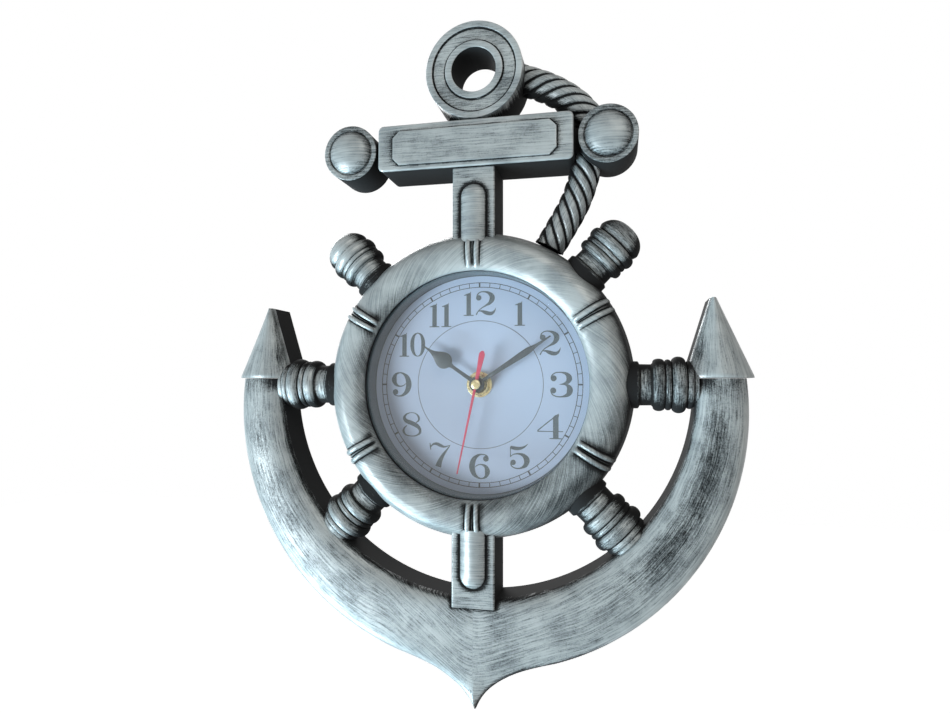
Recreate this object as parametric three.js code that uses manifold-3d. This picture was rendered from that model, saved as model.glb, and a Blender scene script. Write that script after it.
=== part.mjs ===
// Ship wheel wall clock: an anchor that carries a ship's wheel, with a quartz clock in the wheel.
// Millimetres. +X right, +Z up, -Y towards the viewer. The wall is the plane y = 0, and the
// origin is on the wall, on the axis of the hands. A depth is a distance out from the wall.
import * as THREE from "three";
import { mergeVertices } from "three/addons/utils/BufferGeometryUtils.js";
import Module from "manifold-3d";

const wasm = await Module();
wasm.setup();

// Clearances and walls
const fitGap = 0.3; // beside a tongue, a tenon or a cut end
const stackGap = 0.1; // between the flat faces of a stack
const runningGap = 0.35; // round a turning tube or arbor
const pressGap = 0.15; // round a pressed hub
const overCut = 3; // how far a cutting solid runs past a face
const pastAll = 60; // beyond every face of the clock
const shellWall = 2.4; // wall of each moulded shell
const backDepth = 12.5; // back edge of the anchor and the wheel

// Wheel rim
const rimRadius = 76; // outside, where the arch starts
const rimDraft = 1.5; // wider at the back edge
const rimCrestRadius = 66.5;
const rimLipRadius = 56.2;
const rimWaistDepth = 27;
const rimCrestDepth = 39.5;
const rimLipDepth = 36.2;
const ridgeHeight = 1.1; // tie ridges across the rim
const ridgeHalfSpan = 3.6; // half the width of a pair, at the crest
const tieAngles = [30, 90, 150, 210, 270, 330];

// Lens, dial and housing
const lensRadius = 58.9;
const lensThickness = 1.5;
const lensFrontDepth = 33.8;
const dialRadius = 54.9;
const dialDepth = 21;
const dialThickness = 0.6;
const revealFlare = 0.6; // the reveal opens towards the lens
const housingWall = 2.4;
const floorThickness = 1.8;
const flangeThickness = 2;
const flangeLap = 1.4; // flange behind the rim's wall
const screwAngles = [60, 120, 240, 300];
const bossRadius = 3.2;
const screwRadius = 1.1;
const screwHeadRadius = 2.8;
const screwHeadHeight = 1.7;
const screwHeadEdge = 0.7;
const screwLength = 12;

// Spokes: radius of each turning, at its distance from the axis of the hands
const spokeDepth = 25;
const tenonRadius = 5;
const tenonLength = 5;
const collarRadius = 11;
const collarReach = 3;
const collarEnd = rimRadius + collarReach;
const neckRadius = 9.9;
const filletRadius = 10.9;
const spokeFootRadius = 10.3;
const neckShare = 0.2255; // of the length between the collar and the arm, as are the beads
const armBeads = [
  { from: 0.291, to: 0.422, radius: 12.3 },
  { from: 0.525, to: 0.566, radius: 11.9 },
  { from: 0.668, to: 0.808, radius: 13.2 },
];
const beadSlope = 0.047;
const handleBead = { centre: 86.3, radius: 12.1, halfWidth: 1.3 };
const handleBand = { centre: 94.2, radius: 12.7, halfWidth: 2.7 };
const handleGrooveRadius = 10.4;
const handleEnd = 107;

// Anchor arms and crown
const armInnerRadius = 104.5;
const armOuterRadius = 127.3;
const armOuterCentreZ = -11.2;
const armTopZ = 3;
const armDraft = 0.7;
const armWallDepth = 29.5; // where the side walls turn into the domed front
const armCrestDepth = 36;
const armHollowDepth = 26;
const crownHalfWidth = 40;
const crownPull = { x: 24, z: -136.5 };
const crownFlow = { x: 8, z: -140 };
const crownTipZ = -158.5;
const crownTipDepth = 21;
const crownRibHalf = 16;

// Flukes
const flukeInnerLap = 5; // each side stands out past the arm
const flukeOuterLap = 4;
const flukeLean = 2.4;
const flukeRise = 37.5;
const flukeInnerX = armInnerRadius - flukeInnerLap;
const flukeOuterX = Math.sqrt(armOuterRadius ** 2 - (armTopZ - armOuterCentreZ) ** 2) + flukeOuterLap;
const flukeApexX = (flukeInnerX + flukeOuterX) / 2 - flukeLean;
const flukeApexZ = armTopZ + flukeRise;
const flukeApexWidth = 3;
const flukeWallDepth = 28.5;
const flukeCrestDepth = 37;
const flukeApexDepth = 32;
const flukeTongue = { half: 4.7, length: 8, near: 15.5, far: 23 };

// Shanks
const shankHalfWidth = 10.7;
const shankDepth = 36.5;
const shankBevel = 1.2;
const shankFootZ = -107.8;
const capsuleHalfWidth = 6.4;
const capsuleHeight = 3;
const upperCapsuleZ = 99.2;
const lowerCapsuleZ = -98.5;
const shankTongue = { half: 6, length: 5, near: 17, far: 30 };

// Stock, its knobs and the eye
const stockHalfWidth = 49.3;
const stockBottomZ = 107.7;
const stockTopZ = 131.2;
const stockCorner = 3;
const stockDepth = 38.6;
const plaqueHalfWidth = 41.4;
const plaqueBottomZ = 110.1;
const plaqueTopZ = 127.6;
const plaqueCorner = 3;
const plaqueHeight = 1.1;
const knobStandOff = 16.2; // from the end of the bar to the knob's axis
const knobX = stockHalfWidth + knobStandOff;
const knobZ = 119.6;
const knobRadius = 14.2;
const knobDepth = 36.2;
const knobDomeRadius = 10.7;
const knobDomeHeight = 4;
const knobGroove = 0.7;
const edgeBevel = 0.6; // front edge of the knobs and the eye
const knobNeck = { halfHeight: 6, near: 16, far: 30, reach: 4 };
const eyeZ = 156.8;
const eyeRadius = 24.6;
const eyeRimInner = 21.5;
const eyeCollarRadius = 14.6;
const eyeHoleRadius = 11.3;
const eyeDepth = 37.2;
const eyeRecess = 1.1;
const webHalfWidth = 17;
const webTopHalfWidth = 12;
const webDepth = 29.2;
const webHeight = 9;
const webTongue = { half: 8, length: 5.5, near: 15.5, far: 26 };

// Rope, a rigid moulding
const ropeRadius = 7.7;
const ropeGroove = 1.5;
const ropeDepth = 21.5;
const ropeStrands = 5;
const ropePitch = 50; // one full turn of the lay
const ropeStep = 3.6;
const ropeSides = 3 * ropeStrands;
const upperRopeRoute = [[20, 157], [37, 149.5], [50, 140], [knobX - 5.5, 127]];
const lowerRopeRoute = [[knobX - 9, 114], [53, 104.5], [46.5, 91], [38, 76.5], [33, 70]];

// Quartz movement
const caseHalf = 28;
const caseCorner = 3;
const caseWall = 1.2;
const caseBackDepth = 4;
const coverThickness = 1.3;
const bayTopZ = -12; // battery bay below, wheels above
const gasketThickness = 0.8;
const gasketRadius = 12;
const hangerThickness = 0.7;
const hangerHalfWidth = 12;
const hangerBottomZ = -11;
const hangerTopZ = 48;
const hangerBackDepth = 5.5;
const keyholeZ = 37.5;
const keyholeRadius = 4;
const nailSlotRadius = 2;
const nailSlotZ = 43.5;
const bushRadius = 4;
const bushTop = 3.9; // bush end, out from the dial
const bushFlange = { radius: 7, thickness: 0.9 };
const bushChamfer = 0.4;
const washerRadius = 6.5;
const washerThickness = 0.5;
const nutAcrossCorners = 11.6;
const nutThickness = 2.5;
const batteryRadius = 7.1;
const batteryLength = 50.5;
const batteryNub = { radius: 2.75, length: 1 };
const batteryEdge = 0.6; // bevel of the can's ends
const contactThickness = 0.4;
const contactHalf = { depth: 5, z: 4 };
const positiveBoss = { tip: 1.6, root: 2.2 };
const negativeSpring = { tip: 2.2, root: 3.4 };

// Wheel train: teeth, and module in millimetres a tooth
const pinionTeeth = 6;
const rotorStage = { teeth: 36, module: 0.32 };
const secondsStage = { teeth: 30, module: 0.4 };
const thirdStage = { teeth: 45, module: 0.345 };
const minuteTeeth = 48; // its module follows from the third wheel's distance
const settingTeeth = 30;
const cannonTeeth = 10;
const hourTeeth = 32;
const settingPinionTeeth = 8;
const settingDistance = 9.2;
const meshPlay = 0.06; // added to each distance between two axes
const thirdBearing = 20; // direction of each axis, in degrees from +X
const intermediateBearing = 160;
const rotorBearing = 130;
const settingBearing = 100;
const wheelThickness = 0.8;
const layerDepths = { intermediate: 5, seconds: 6.6, third: 8.3, minute: 10.1, setting: 11.6, hour: 13.1 };
const arborRadius = 0.5;
const pivotPlay = 0.25;
const arborInset = 0.4; // arbor end, inside the cover's hole
const blindDepth = 0.8; // bearing holes in the case's front wall
const minuteTube = { inner: 0.85, outer: 1.45, end: 28.8 };
const hourTube = { inner: 1.8, outer: 2.4, end: 26.9 };
const secondsArborEnd = 31;
const trainPlate = { near: 9.4, thickness: 0.5 };
const magnetRadius = 2.4;
const rotorPinion = { lead: 0.4, length: 1.8 };
const statorThickness = 0.8;
const settingKnob = { radius: 4.5, backDepth: 0.7 };

// Hands: lengths from the axis, and the time shown
const handThickness = 0.45;
const hourHand = { depth: 25.8, length: 34.7, hub: 3.75, angle: 304.8 };
const hourBulb = { z: 21.2, radius: 4.2, stem: 0.8, shoulder: 0.5, shoulderZ: 29.8, tip: 0.22 };
const minuteHand = { depth: 27.8, length: 43.8, hub: 3.75, angle: 57.2 };
const minuteBlade = { root: 0.95, widestZ: 30, widest: 1.65, neckZ: 35.5, neck: 0.75, tip: 0.3 };
const secondHand = { depth: 29.8, length: 45.4, tail: 17.1, hub: 2.3, angle: 192 };
const secondBlade = { hub: 0.7, tip: 0.35, tail: 1.5 };
const handRootZ = 2.5; // where the blades leave their hubs
const capRadius = 2.5;
const capHeight = 1.3;
const capEdge = 0.4;
const rivetWall = 0.3;
const rivetFoot = 0.5; // rivet, behind the second hand

// Facets
const rimStationStep = 15;
const fineSides = 32;
const eyeSides = 22;
const coarseSides = 16;
const mediumSides = 12;
const smallSides = 8;

const finish = (color, roughness, metalness) =>
  new THREE.MeshStandardMaterial({ color, roughness, metalness });
const silver = finish(0x8f989b, 0.45, 0.7);
const greyPlastic = finish(0x5c6d75, 0.5, 0);
const dialCard = finish(0xb8c8e2, 0.6, 0);
const clearGlass = finish(0xe8f0f4, 0.05, 0);
const blackPlastic = finish(0x202326, 0.55, 0);
const whitePlastic = finish(0xe6e4dc, 0.5, 0);
const rubber = finish(0x1b1b1b, 0.9, 0);
const brass = finish(0xc8b070, 0.3, 1);
const steel = finish(0xb4b7b9, 0.35, 1);
const copper = finish(0xa85a34, 0.4, 0.8);
const boardGreen = finish(0x2f6b45, 0.6, 0);
const handPaint = finish(0x2e3a40, 0.5, 0.2);
const redPaint = finish(0xd0405a, 0.5, 0);
const batteryJacket = finish(0x3a3f46, 0.4, 0.3);

const clock = new THREE.Group();
const radians = THREE.MathUtils.degToRad;

// Solids and meshes

function signedVolume(geometry) {
  const position = geometry.getAttribute("position");
  const corner = (i) => new THREE.Vector3().fromBufferAttribute(position, geometry.index.getX(i));
  let sum = 0;
  for (let i = 0; i < geometry.index.count; i += 3) {
    sum += corner(i).dot(corner(i + 1).cross(corner(i + 2)));
  }
  return sum / 6;
}

// Merges the shared vertices, drops the empty faces at poles and turns the faces outwards.
function closed(geometry) {
  geometry.deleteAttribute("normal");
  geometry.deleteAttribute("uv");
  const merged = mergeVertices(geometry, 1e-4);
  const corners = merged.index.array;
  const kept = [];
  for (let i = 0; i < corners.length; i += 3) {
    const [a, b, c] = [corners[i], corners[i + 1], corners[i + 2]];
    if (a !== b && b !== c && c !== a) kept.push(a, b, c);
  }
  merged.setIndex(kept);
  if (signedVolume(merged) < 0) merged.setIndex(kept.reverse());
  return merged;
}

function solidOf(geometry) {
  const merged = closed(geometry.clone());
  return new wasm.Manifold(
    new wasm.Mesh({
      numProp: 3,
      vertProperties: new Float32Array(merged.getAttribute("position").array),
      triVerts: new Uint32Array(merged.index.array),
    }),
  );
}

// The base with the added pieces joined to it and the cut pieces taken away.
function shaped(base, { add = [], cut = [] }) {
  let solid = solidOf(base);
  for (const piece of add) solid = solid.add(solidOf(piece));
  for (const piece of cut) solid = solid.subtract(solidOf(piece));
  const { vertProperties, triVerts } = solid.getMesh();
  const geometry = new THREE.BufferGeometry();
  geometry.setAttribute("position", new THREE.BufferAttribute(vertProperties, 3));
  geometry.setIndex(new THREE.BufferAttribute(triVerts, 1));
  return geometry;
}

function place(name, geometry, material, turn = 0) {
  const body = closed(geometry.clone());
  body.computeVertexNormals();
  const mesh = new THREE.Mesh(body, material);
  mesh.name = name;
  mesh.rotation.y = turn;
  clock.add(mesh);
}

// Forms

function block([x0, x1], [near, far], [z0, z1]) {
  const box = new THREE.BoxGeometry(x1 - x0, far - near, z1 - z0);
  return box.translate((x0 + x1) / 2, -(near + far) / 2, (z0 + z1) / 2);
}

// An outline in the plane of the wall, extruded between two depths.
function plate(outline, near, far, curveSegments = 8) {
  const body = new THREE.ExtrudeGeometry(outline, {
    depth: far - near,
    bevelEnabled: false,
    curveSegments,
  });
  return body.rotateX(Math.PI / 2).translate(0, -near, 0);
}

// A profile of [radius, depth] pairs, turned about an axis square to the wall.
function turned(profile, sides, [x, z] = [0, 0]) {
  const points = profile.map(([radius, depth]) => new THREE.Vector2(radius, -depth));
  return new THREE.LatheGeometry(points, sides).translate(x, 0, z);
}

function disc(radius, near, far, sides, centre) {
  return turned([[0, near], [radius, near], [radius, far], [0, far]], sides, centre);
}

function tube(inner, outer, near, far, sides, centre) {
  const profile = [[inner, near], [outer, near], [outer, far], [inner, far], [inner, near]];
  return turned(profile, sides, centre);
}

// A profile of [radius, distance] pairs, turned about +X at the given depth.
function turnedAlongX(profile, sides, depth) {
  const points = profile.map(([radius, distance]) => new THREE.Vector2(radius, distance));
  return new THREE.LatheGeometry(points, sides).rotateZ(-Math.PI / 2).translate(0, -depth, 0);
}

// Rings of points with equal counts, skinned into one solid.
function loft(rings, isRing = false) {
  const count = rings[0].length;
  const points = rings.flat();
  const faces = [];
  const spans = isRing ? rings.length : rings.length - 1;
  for (let span = 0; span < spans; span += 1) {
    const here = span * count;
    const next = ((span + 1) % rings.length) * count;
    for (let side = 0; side < count; side += 1) {
      const beside = (side + 1) % count;
      faces.push(here + side, here + beside, next + beside);
      faces.push(here + side, next + beside, next + side);
    }
  }
  if (!isRing) {
    const last = (rings.length - 1) * count;
    const middle = (ring) => ring.reduce((sum, p) => sum.add(p), new THREE.Vector3()).divideScalar(count);
    points.push(middle(rings[0]), middle(rings.at(-1)));
    for (let side = 0; side < count; side += 1) {
      const beside = (side + 1) % count;
      faces.push(points.length - 2, beside, side);
      faces.push(points.length - 1, last + side, last + beside);
    }
  }
  const geometry = new THREE.BufferGeometry().setFromPoints(points);
  geometry.setIndex(faces);
  return closed(geometry);
}

function arcPoints([x, z], radius, from, to, steps) {
  return Array.from({ length: steps + 1 }, (_, i) => {
    const angle = from + ((to - from) * i) / steps;
    return new THREE.Vector2(x + radius * Math.cos(angle), z + radius * Math.sin(angle));
  });
}

function outlineOf(pairs) {
  return new THREE.Shape(pairs.map(([x, z]) => new THREE.Vector2(x, z)));
}

// A rectangle with cut or rounded corners.
function corneredOutline([x0, x1], [z0, z1], corner, steps) {
  const centres = [[x1 - corner, z0 + corner], [x1 - corner, z1 - corner]];
  centres.push([x0 + corner, z1 - corner], [x0 + corner, z0 + corner]);
  const points = centres.flatMap((centre, i) => {
    const from = ((i - 1) * Math.PI) / 2;
    return arcPoints(centre, corner, from, from + Math.PI / 2, steps);
  });
  return new THREE.Shape(points);
}

function polar(distance, degrees, [x, z] = [0, 0]) {
  const angle = radians(degrees);
  return [x + distance * Math.cos(angle), z + distance * Math.sin(angle)];
}

// A domed rise from 0 at both edges to 1 in the middle.
const dome = (share) => (1 - Math.abs(2 * share - 1) ** 2.4) ** (1 / 2.4);
const domeShares = [0.05, 0.2, 0.5, 0.8, 0.95];

// Wheel rim

// Section of the rim as [radius, depth], outside first, then back along the inside of the shell.
function rimSection(lift) {
  const section = [[rimRadius + rimDraft, backDepth]];
  const lipBack = lensFrontDepth + fitGap;
  for (const degrees of [0, 32, 62, 90]) {
    const [across, out] = polar(1, degrees);
    const radius = rimCrestRadius + (rimRadius - rimCrestRadius + lift) * across;
    section.push([radius, rimWaistDepth + (rimCrestDepth - rimWaistDepth + lift) * out]);
  }
  for (const degrees of [135, 180]) {
    const [across, out] = polar(1, degrees);
    const radius = rimCrestRadius + (rimCrestRadius - rimLipRadius) * across;
    section.push([radius, rimLipDepth + (rimCrestDepth - rimLipDepth + lift) * out]);
  }
  section.push([rimLipRadius, lipBack]);
  section.push([lensRadius + 2 * fitGap, lipBack]);
  section.push([rimCrestRadius, rimCrestDepth - shellWall]);
  section.push([rimRadius - shellWall, rimWaistDepth]);
  section.push([rimRadius + rimDraft - shellWall, backDepth]);
  return section;
}

// Angles round the rim, each with the lift of its section: two ridges at each tie.
function rimStations() {
  const stations = [];
  const perSide = Math.round(60 / rimStationStep) - 1;
  const halfSpan = THREE.MathUtils.radToDeg(ridgeHalfSpan / rimCrestRadius);
  for (const tie of tieAngles) {
    for (const [share, lift] of [[-1, 0], [-0.58, ridgeHeight], [0, 0], [0.58, ridgeHeight], [1, 0]]) {
      stations.push([tie + share * halfSpan, lift]);
    }
    for (let i = 1; i <= perSide; i += 1) {
      const rest = 60 - 2 * halfSpan;
      stations.push([tie + halfSpan + (rest * i) / (perSide + 1), 0]);
    }
  }
  return stations;
}

// The space inside the rim's outside face, wider by a clearance, for cutting what meets it.
function rimEnvelope(clearance, lift = 0) {
  const outside = rimSection(lift).slice(0, 7);
  const profile = outside.map(([radius, depth]) => [radius + clearance, depth]);
  const start = profile[0][0];
  const lip = profile.at(-1)[0];
  return turned([[0, 0], [start, 0], ...profile, [lip, pastAll], [0, pastAll]], 2 * fineSides);
}

const bossEnd = rimCrestDepth - shellWall / 2;
const armSpokeAngles = [0, 180, 225, 315];
const handleAngles = [45, 135];
const spokeAngles = [...armSpokeAngles, ...handleAngles];

// Round hole for a spoke's tenon, between two distances from the axis of the hands.
function tenonSocket(from, to, angle) {
  const radius = tenonRadius + fitGap;
  const hole = turnedAlongX([[0, from], [radius, from], [radius, to], [0, to]], mediumSides, spokeDepth);
  return hole.rotateY(-radians(angle));
}

function wheelRim() {
  const rings = rimStations().map(([degrees, lift]) =>
    rimSection(lift).map(([radius, depth]) => {
      const [x, z] = polar(radius, degrees);
      return new THREE.Vector3(x, -depth, z);
    }),
  );
  const bosses = screwAngles.map((angle) =>
    disc(bossRadius, backDepth, bossEnd, smallSides, polar(rimCrestRadius, angle)),
  );
  const pilots = screwAngles.map((angle) =>
    disc(screwRadius + fitGap, 0, backDepth + screwLength, smallSides, polar(rimCrestRadius, angle)),
  );
  const sockets = spokeAngles.map((angle) =>
    tenonSocket(rimRadius - tenonLength, rimRadius + rimDraft + overCut, angle),
  );
  const slots = [1, -1].map((side) => shankTongueBlock(side, fitGap));
  return shaped(loft(rings, true), { add: bosses, cut: [...pilots, ...sockets, ...slots] });
}

// Spokes

function bead({ centre, radius, halfWidth }, rootRadius, footWidth) {
  return [
    [rootRadius, centre - halfWidth - footWidth],
    [radius, centre - halfWidth],
    [radius, centre + halfWidth],
    [rootRadius, centre + halfWidth + footWidth],
  ];
}

function spokeRoot() {
  const start = rimRadius - tenonLength;
  return [[0, start], [collarRadius, start], [collarRadius, collarEnd], [neckRadius, collarEnd + fitGap]];
}

function armSpokeProfile() {
  const foot = Math.sqrt(armInnerRadius ** 2 - spokeFootRadius ** 2) - 2 * fitGap;
  const along = (share) => THREE.MathUtils.lerp(collarEnd, foot, share);
  const beads = armBeads.flatMap(({ from, to, radius }) => [
    [radius, along(from)],
    [radius, along(to)],
    [filletRadius, along(to + beadSlope)],
  ]);
  return [
    ...spokeRoot(),
    [neckRadius, along(neckShare)],
    ...beads.slice(0, -1),
    [spokeFootRadius, foot],
    [tenonRadius, foot],
    [tenonRadius, foot + tenonLength],
    [0, foot + tenonLength],
  ];
}

function handleProfile() {
  const { centre, radius, halfWidth } = handleBand;
  const shoulder = centre + halfWidth;
  const crown = [25, 50, 72].map((degrees) => {
    const [across, out] = polar(1, degrees);
    return [radius * across, shoulder + (handleEnd - shoulder) * out];
  });
  return [
    ...spokeRoot(),
    [neckRadius, handleBead.centre - handleBead.halfWidth - 1],
    ...bead(handleBead, filletRadius, 1).slice(1),
    [handleGrooveRadius, centre - halfWidth - 0.8],
    [radius, centre - halfWidth],
    [radius, shoulder],
    ...crown,
    [0, handleEnd],
  ];
}

// The collar follows the rim's face, and the tenon then goes on into its socket.
function spokeBody(profile, cutters) {
  const start = rimRadius - tenonLength + fitGap;
  const tenonProfile = [[0, start], [tenonRadius, start], [tenonRadius, collarEnd], [0, collarEnd]];
  const tenon = turnedAlongX(tenonProfile, mediumSides, spokeDepth);
  const turning = turnedAlongX(profile, mediumSides, spokeDepth);
  const trimmed = shaped(turning, { cut: [rimEnvelope(fitGap), ...cutters] });
  return shaped(trimmed, { add: [tenon] });
}

function addSpokes() {
  const flukeCut = (side, turn) =>
    plate(flukeOutline(side, fitGap), backDepth - overCut, flukeCrestDepth + overCut).rotateY(turn);
  const armSpoke = spokeBody(armSpokeProfile(), []);
  const handle = spokeBody(handleProfile(), []);
  place("spoke_right", spokeBody(armSpokeProfile(), [flukeCut(1, 0)]), silver);
  place("spoke_left", spokeBody(armSpokeProfile(), [flukeCut(-1, Math.PI)]), silver, Math.PI);
  place("spoke_upper_right", handle, silver, -radians(45));
  place("spoke_upper_left", handle, silver, -radians(135));
  place("spoke_lower_right", armSpoke, silver, radians(45));
  place("spoke_lower_left", armSpoke, silver, radians(135));
}

// Anchor arms, from the crown point up each side

function armEdges() {
  const crownAngle = Math.asin(crownHalfWidth / armOuterRadius) - Math.PI / 2;
  const joinZ = armOuterCentreZ + armOuterRadius * Math.sin(crownAngle);
  const point = new THREE.CubicBezierCurve(
    new THREE.Vector2(0, crownTipZ),
    new THREE.Vector2(crownFlow.x, crownFlow.z),
    new THREE.Vector2(crownPull.x, crownPull.z),
    new THREE.Vector2(crownHalfWidth, joinZ),
  );
  const edges = point.getPoints(5).map((outer) => {
    const bearing = Math.atan2(outer.y, outer.x);
    const [inner] = arcPoints([0, 0], armInnerRadius, bearing, bearing, 1);
    return { inner, outer };
  });
  const steps = 9;
  const innerEnd = Math.asin(armTopZ / armInnerRadius);
  const outerEnd = Math.asin((armTopZ - armOuterCentreZ) / armOuterRadius);
  const innerArc = arcPoints([0, 0], armInnerRadius, Math.atan2(joinZ, crownHalfWidth), innerEnd, steps);
  const outerArc = arcPoints([0, armOuterCentreZ], armOuterRadius, crownAngle, outerEnd, steps);
  for (let i = 1; i <= steps; i += 1) edges.push({ inner: innerArc[i], outer: outerArc[i] });
  return edges;
}

// Section across the arm between its edges: side walls, then a domed front.
function armSection({ inner, outer }, side) {
  const nearTip = Math.max(0, 1 - outer.x / (crownHalfWidth / 2)) ** 2;
  const outerDepth = armWallDepth + (crownTipDepth - armWallDepth) * nearTip;
  const rise = armCrestDepth - (armWallDepth + outerDepth) / 2;
  const draft = outer.clone().sub(inner).normalize().multiplyScalar(armDraft);
  const at = (point, depth) => new THREE.Vector3(side * point.x, -depth, point.y);
  const front = domeShares.map((share) => {
    const depth = armWallDepth + (outerDepth - armWallDepth) * share + rise * dome(share);
    return at(inner.clone().lerp(outer, share), depth);
  });
  return [
    at(inner, backDepth),
    at(inner, armWallDepth),
    ...front,
    at(outer, outerDepth),
    at(outer.clone().add(draft), backDepth),
  ];
}

// Hollow of one arm, up to the solid rib behind the crown.
function armHollow(side) {
  const inner = armInnerRadius + shellWall;
  const outer = armOuterRadius - shellWall;
  const top = armTopZ - shellWall;
  const innerFrom = -Math.acos(crownRibHalf / inner);
  const outerFrom = -Math.acos(crownRibHalf / outer);
  const innerArc = arcPoints([0, 0], inner, innerFrom, Math.asin(top / inner), 7);
  const outerTo = Math.asin((top - armOuterCentreZ) / outer);
  const outerArc = arcPoints([0, armOuterCentreZ], outer, outerFrom, outerTo, 7);
  const outline = [...innerArc, ...outerArc.reverse()].map(({ x, y }) => [side * x, y]);
  return plate(outlineOf(outline), backDepth - overCut, armHollowDepth);
}

function anchorArms() {
  const edges = armEdges();
  const left = edges.slice(1).reverse().map((edge) => armSection(edge, -1));
  const right = edges.map((edge) => armSection(edge, 1));
  const notch = block(
    [-shankHalfWidth - fitGap, shankHalfWidth + fitGap],
    [backDepth - overCut, armCrestDepth + overCut],
    [shankFootZ - fitGap, -armInnerRadius + overCut],
  );
  const sockets = armSpokeAngles.map((angle) =>
    tenonSocket(armInnerRadius - overCut, armInnerRadius + tenonLength + fitGap, angle),
  );
  const slots = [1, -1].map((side) => flukeTongueBlock(side, fitGap));
  return shaped(loft([...left, ...right]), {
    cut: [armHollow(1), armHollow(-1), notch, ...sockets, ...slots],
  });
}

// Flukes

const flukeBaseZ = armTopZ + fitGap;
const flukeRootX = (armInnerRadius + armOuterRadius) / 2;

function flukeOutline(side, clearance = 0) {
  const half = flukeApexWidth / 2;
  return outlineOf([
    [side * (flukeInnerX - clearance), flukeBaseZ - clearance],
    [side * (flukeOuterX + clearance), flukeBaseZ - clearance],
    [side * (flukeApexX + half + clearance), flukeApexZ],
    [side * (flukeApexX - half - clearance), flukeApexZ],
  ]);
}

function flukeTongueBlock(side, clearance) {
  const { half, length, near, far } = flukeTongue;
  const xs = [flukeRootX - half - clearance, flukeRootX + half + clearance];
  const span = side > 0 ? xs : [-xs[1], -xs[0]];
  return block(
    span,
    [near - clearance, far + clearance],
    [armTopZ - length - clearance, armTopZ + 2 * fitGap],
  );
}

function flukeSection(share, side) {
  const mix = THREE.MathUtils.lerp;
  const inner = mix(flukeInnerX, flukeApexX - flukeApexWidth / 2, share);
  const outer = mix(flukeOuterX, flukeApexX + flukeApexWidth / 2, share);
  const z = mix(flukeBaseZ, flukeApexZ, share);
  const rise = mix(flukeCrestDepth, flukeApexDepth, share) - flukeWallDepth;
  const at = (x, depth) => new THREE.Vector3(side * x, -depth, z);
  const front = domeShares.map((part) => at(mix(inner, outer, part), flukeWallDepth + rise * dome(part)));
  const walls = [at(inner, backDepth), at(inner, flukeWallDepth)];
  return [...walls, ...front, at(outer, flukeWallDepth), at(outer, backDepth)];
}

function fluke(side) {
  const body = loft([0, 0.25, 0.5, 0.75, 1].map((share) => flukeSection(share, side)));
  return shaped(body, { add: [flukeTongueBlock(side, 0)] });
}

// Shanks

const shankStart = rimCrestRadius + 2 * shellWall; // cut back to the rim's face
const shankHollowStart = rimRadius + rimDraft + shellWall;

function shankTongueBlock(side, clearance) {
  const { half, length, near, far } = shankTongue;
  const zs = [rimRadius - length + fitGap - clearance, shankHollowStart + fitGap];
  return block(
    [-half - clearance, half + clearance],
    [near - clearance, far + clearance],
    side > 0 ? zs : [-zs[1], -zs[0]],
  );
}

// Square bar with bevelled front edges and an open back.
function shankBar(z0, z1) {
  const half = shankHalfWidth;
  const section = [
    [-half, backDepth], [-half, shankDepth - shankBevel], [-half + shankBevel, shankDepth],
    [half - shankBevel, shankDepth], [half, shankDepth - shankBevel], [half, backDepth],
  ];
  return loft([z0, z1].map((z) => section.map(([x, depth]) => new THREE.Vector3(x, -depth, z))));
}

// Half-round relief along the shank, round at the end away from the wheel.
function capsule(endZ) {
  const side = Math.sign(endZ);
  const floor = shankDepth - shellWall / 2;
  const ring = (distance, scale) => {
    const half = capsuleHalfWidth * scale;
    const at = (x, depth) => new THREE.Vector3(x, -depth, side * distance);
    const front = [180, 145, 110, 70, 35, 0].map((degrees) => {
      const [across, out] = polar(1, degrees);
      return at(half * across, shankDepth + capsuleHeight * scale * out);
    });
    return [...front, at(half, floor), at(-half, floor)];
  };
  const end = Math.abs(endZ);
  const roundStart = end - capsuleHalfWidth;
  const roundEnd = [0, 0.35, 0.7, 0.92].map((share) =>
    ring(roundStart + capsuleHalfWidth * share, Math.sqrt(1 - share * share)),
  );
  return loft([ring(shankStart + fitGap, 1), ...roundEnd, ring(end, 0.12)]);
}

function shank(side) {
  const end = side > 0 ? stockBottomZ - fitGap : shankFootZ;
  const hollowZ = [side * shankHollowStart, end - side * shellWall].sort((a, b) => a - b);
  const hollow = block(
    [-shankHalfWidth + shellWall, shankHalfWidth - shellWall],
    [backDepth - overCut, shankDepth - shellWall],
    hollowZ,
  );
  const bar = shankBar(...[side * shankStart, end].sort((a, b) => a - b));
  const relief = capsule(side > 0 ? upperCapsuleZ : lowerCapsuleZ);
  const body = shaped(bar, { add: [relief], cut: [hollow, rimEnvelope(fitGap, ridgeHeight)] });
  const tongues = [shankTongueBlock(side, 0)];
  if (side > 0) tongues.push(stockTongueBlock(0));
  return shaped(body, { add: tongues, cut: side > 0 ? [] : [crownCut()] });
}

// The crown's inside face comes round the foot of the lower shank.
function crownCut() {
  return block([-pastAll, pastAll], [0, pastAll], [shankFootZ - pastAll, shankFootZ]);
}

function stockTongueBlock(clearance) {
  const { half, length, near, far } = shankTongue;
  return block(
    [-half - clearance, half + clearance],
    [near - clearance, far + clearance],
    [stockBottomZ - 2 * fitGap, stockBottomZ + length + clearance],
  );
}

// Stock, knobs and eye

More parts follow.
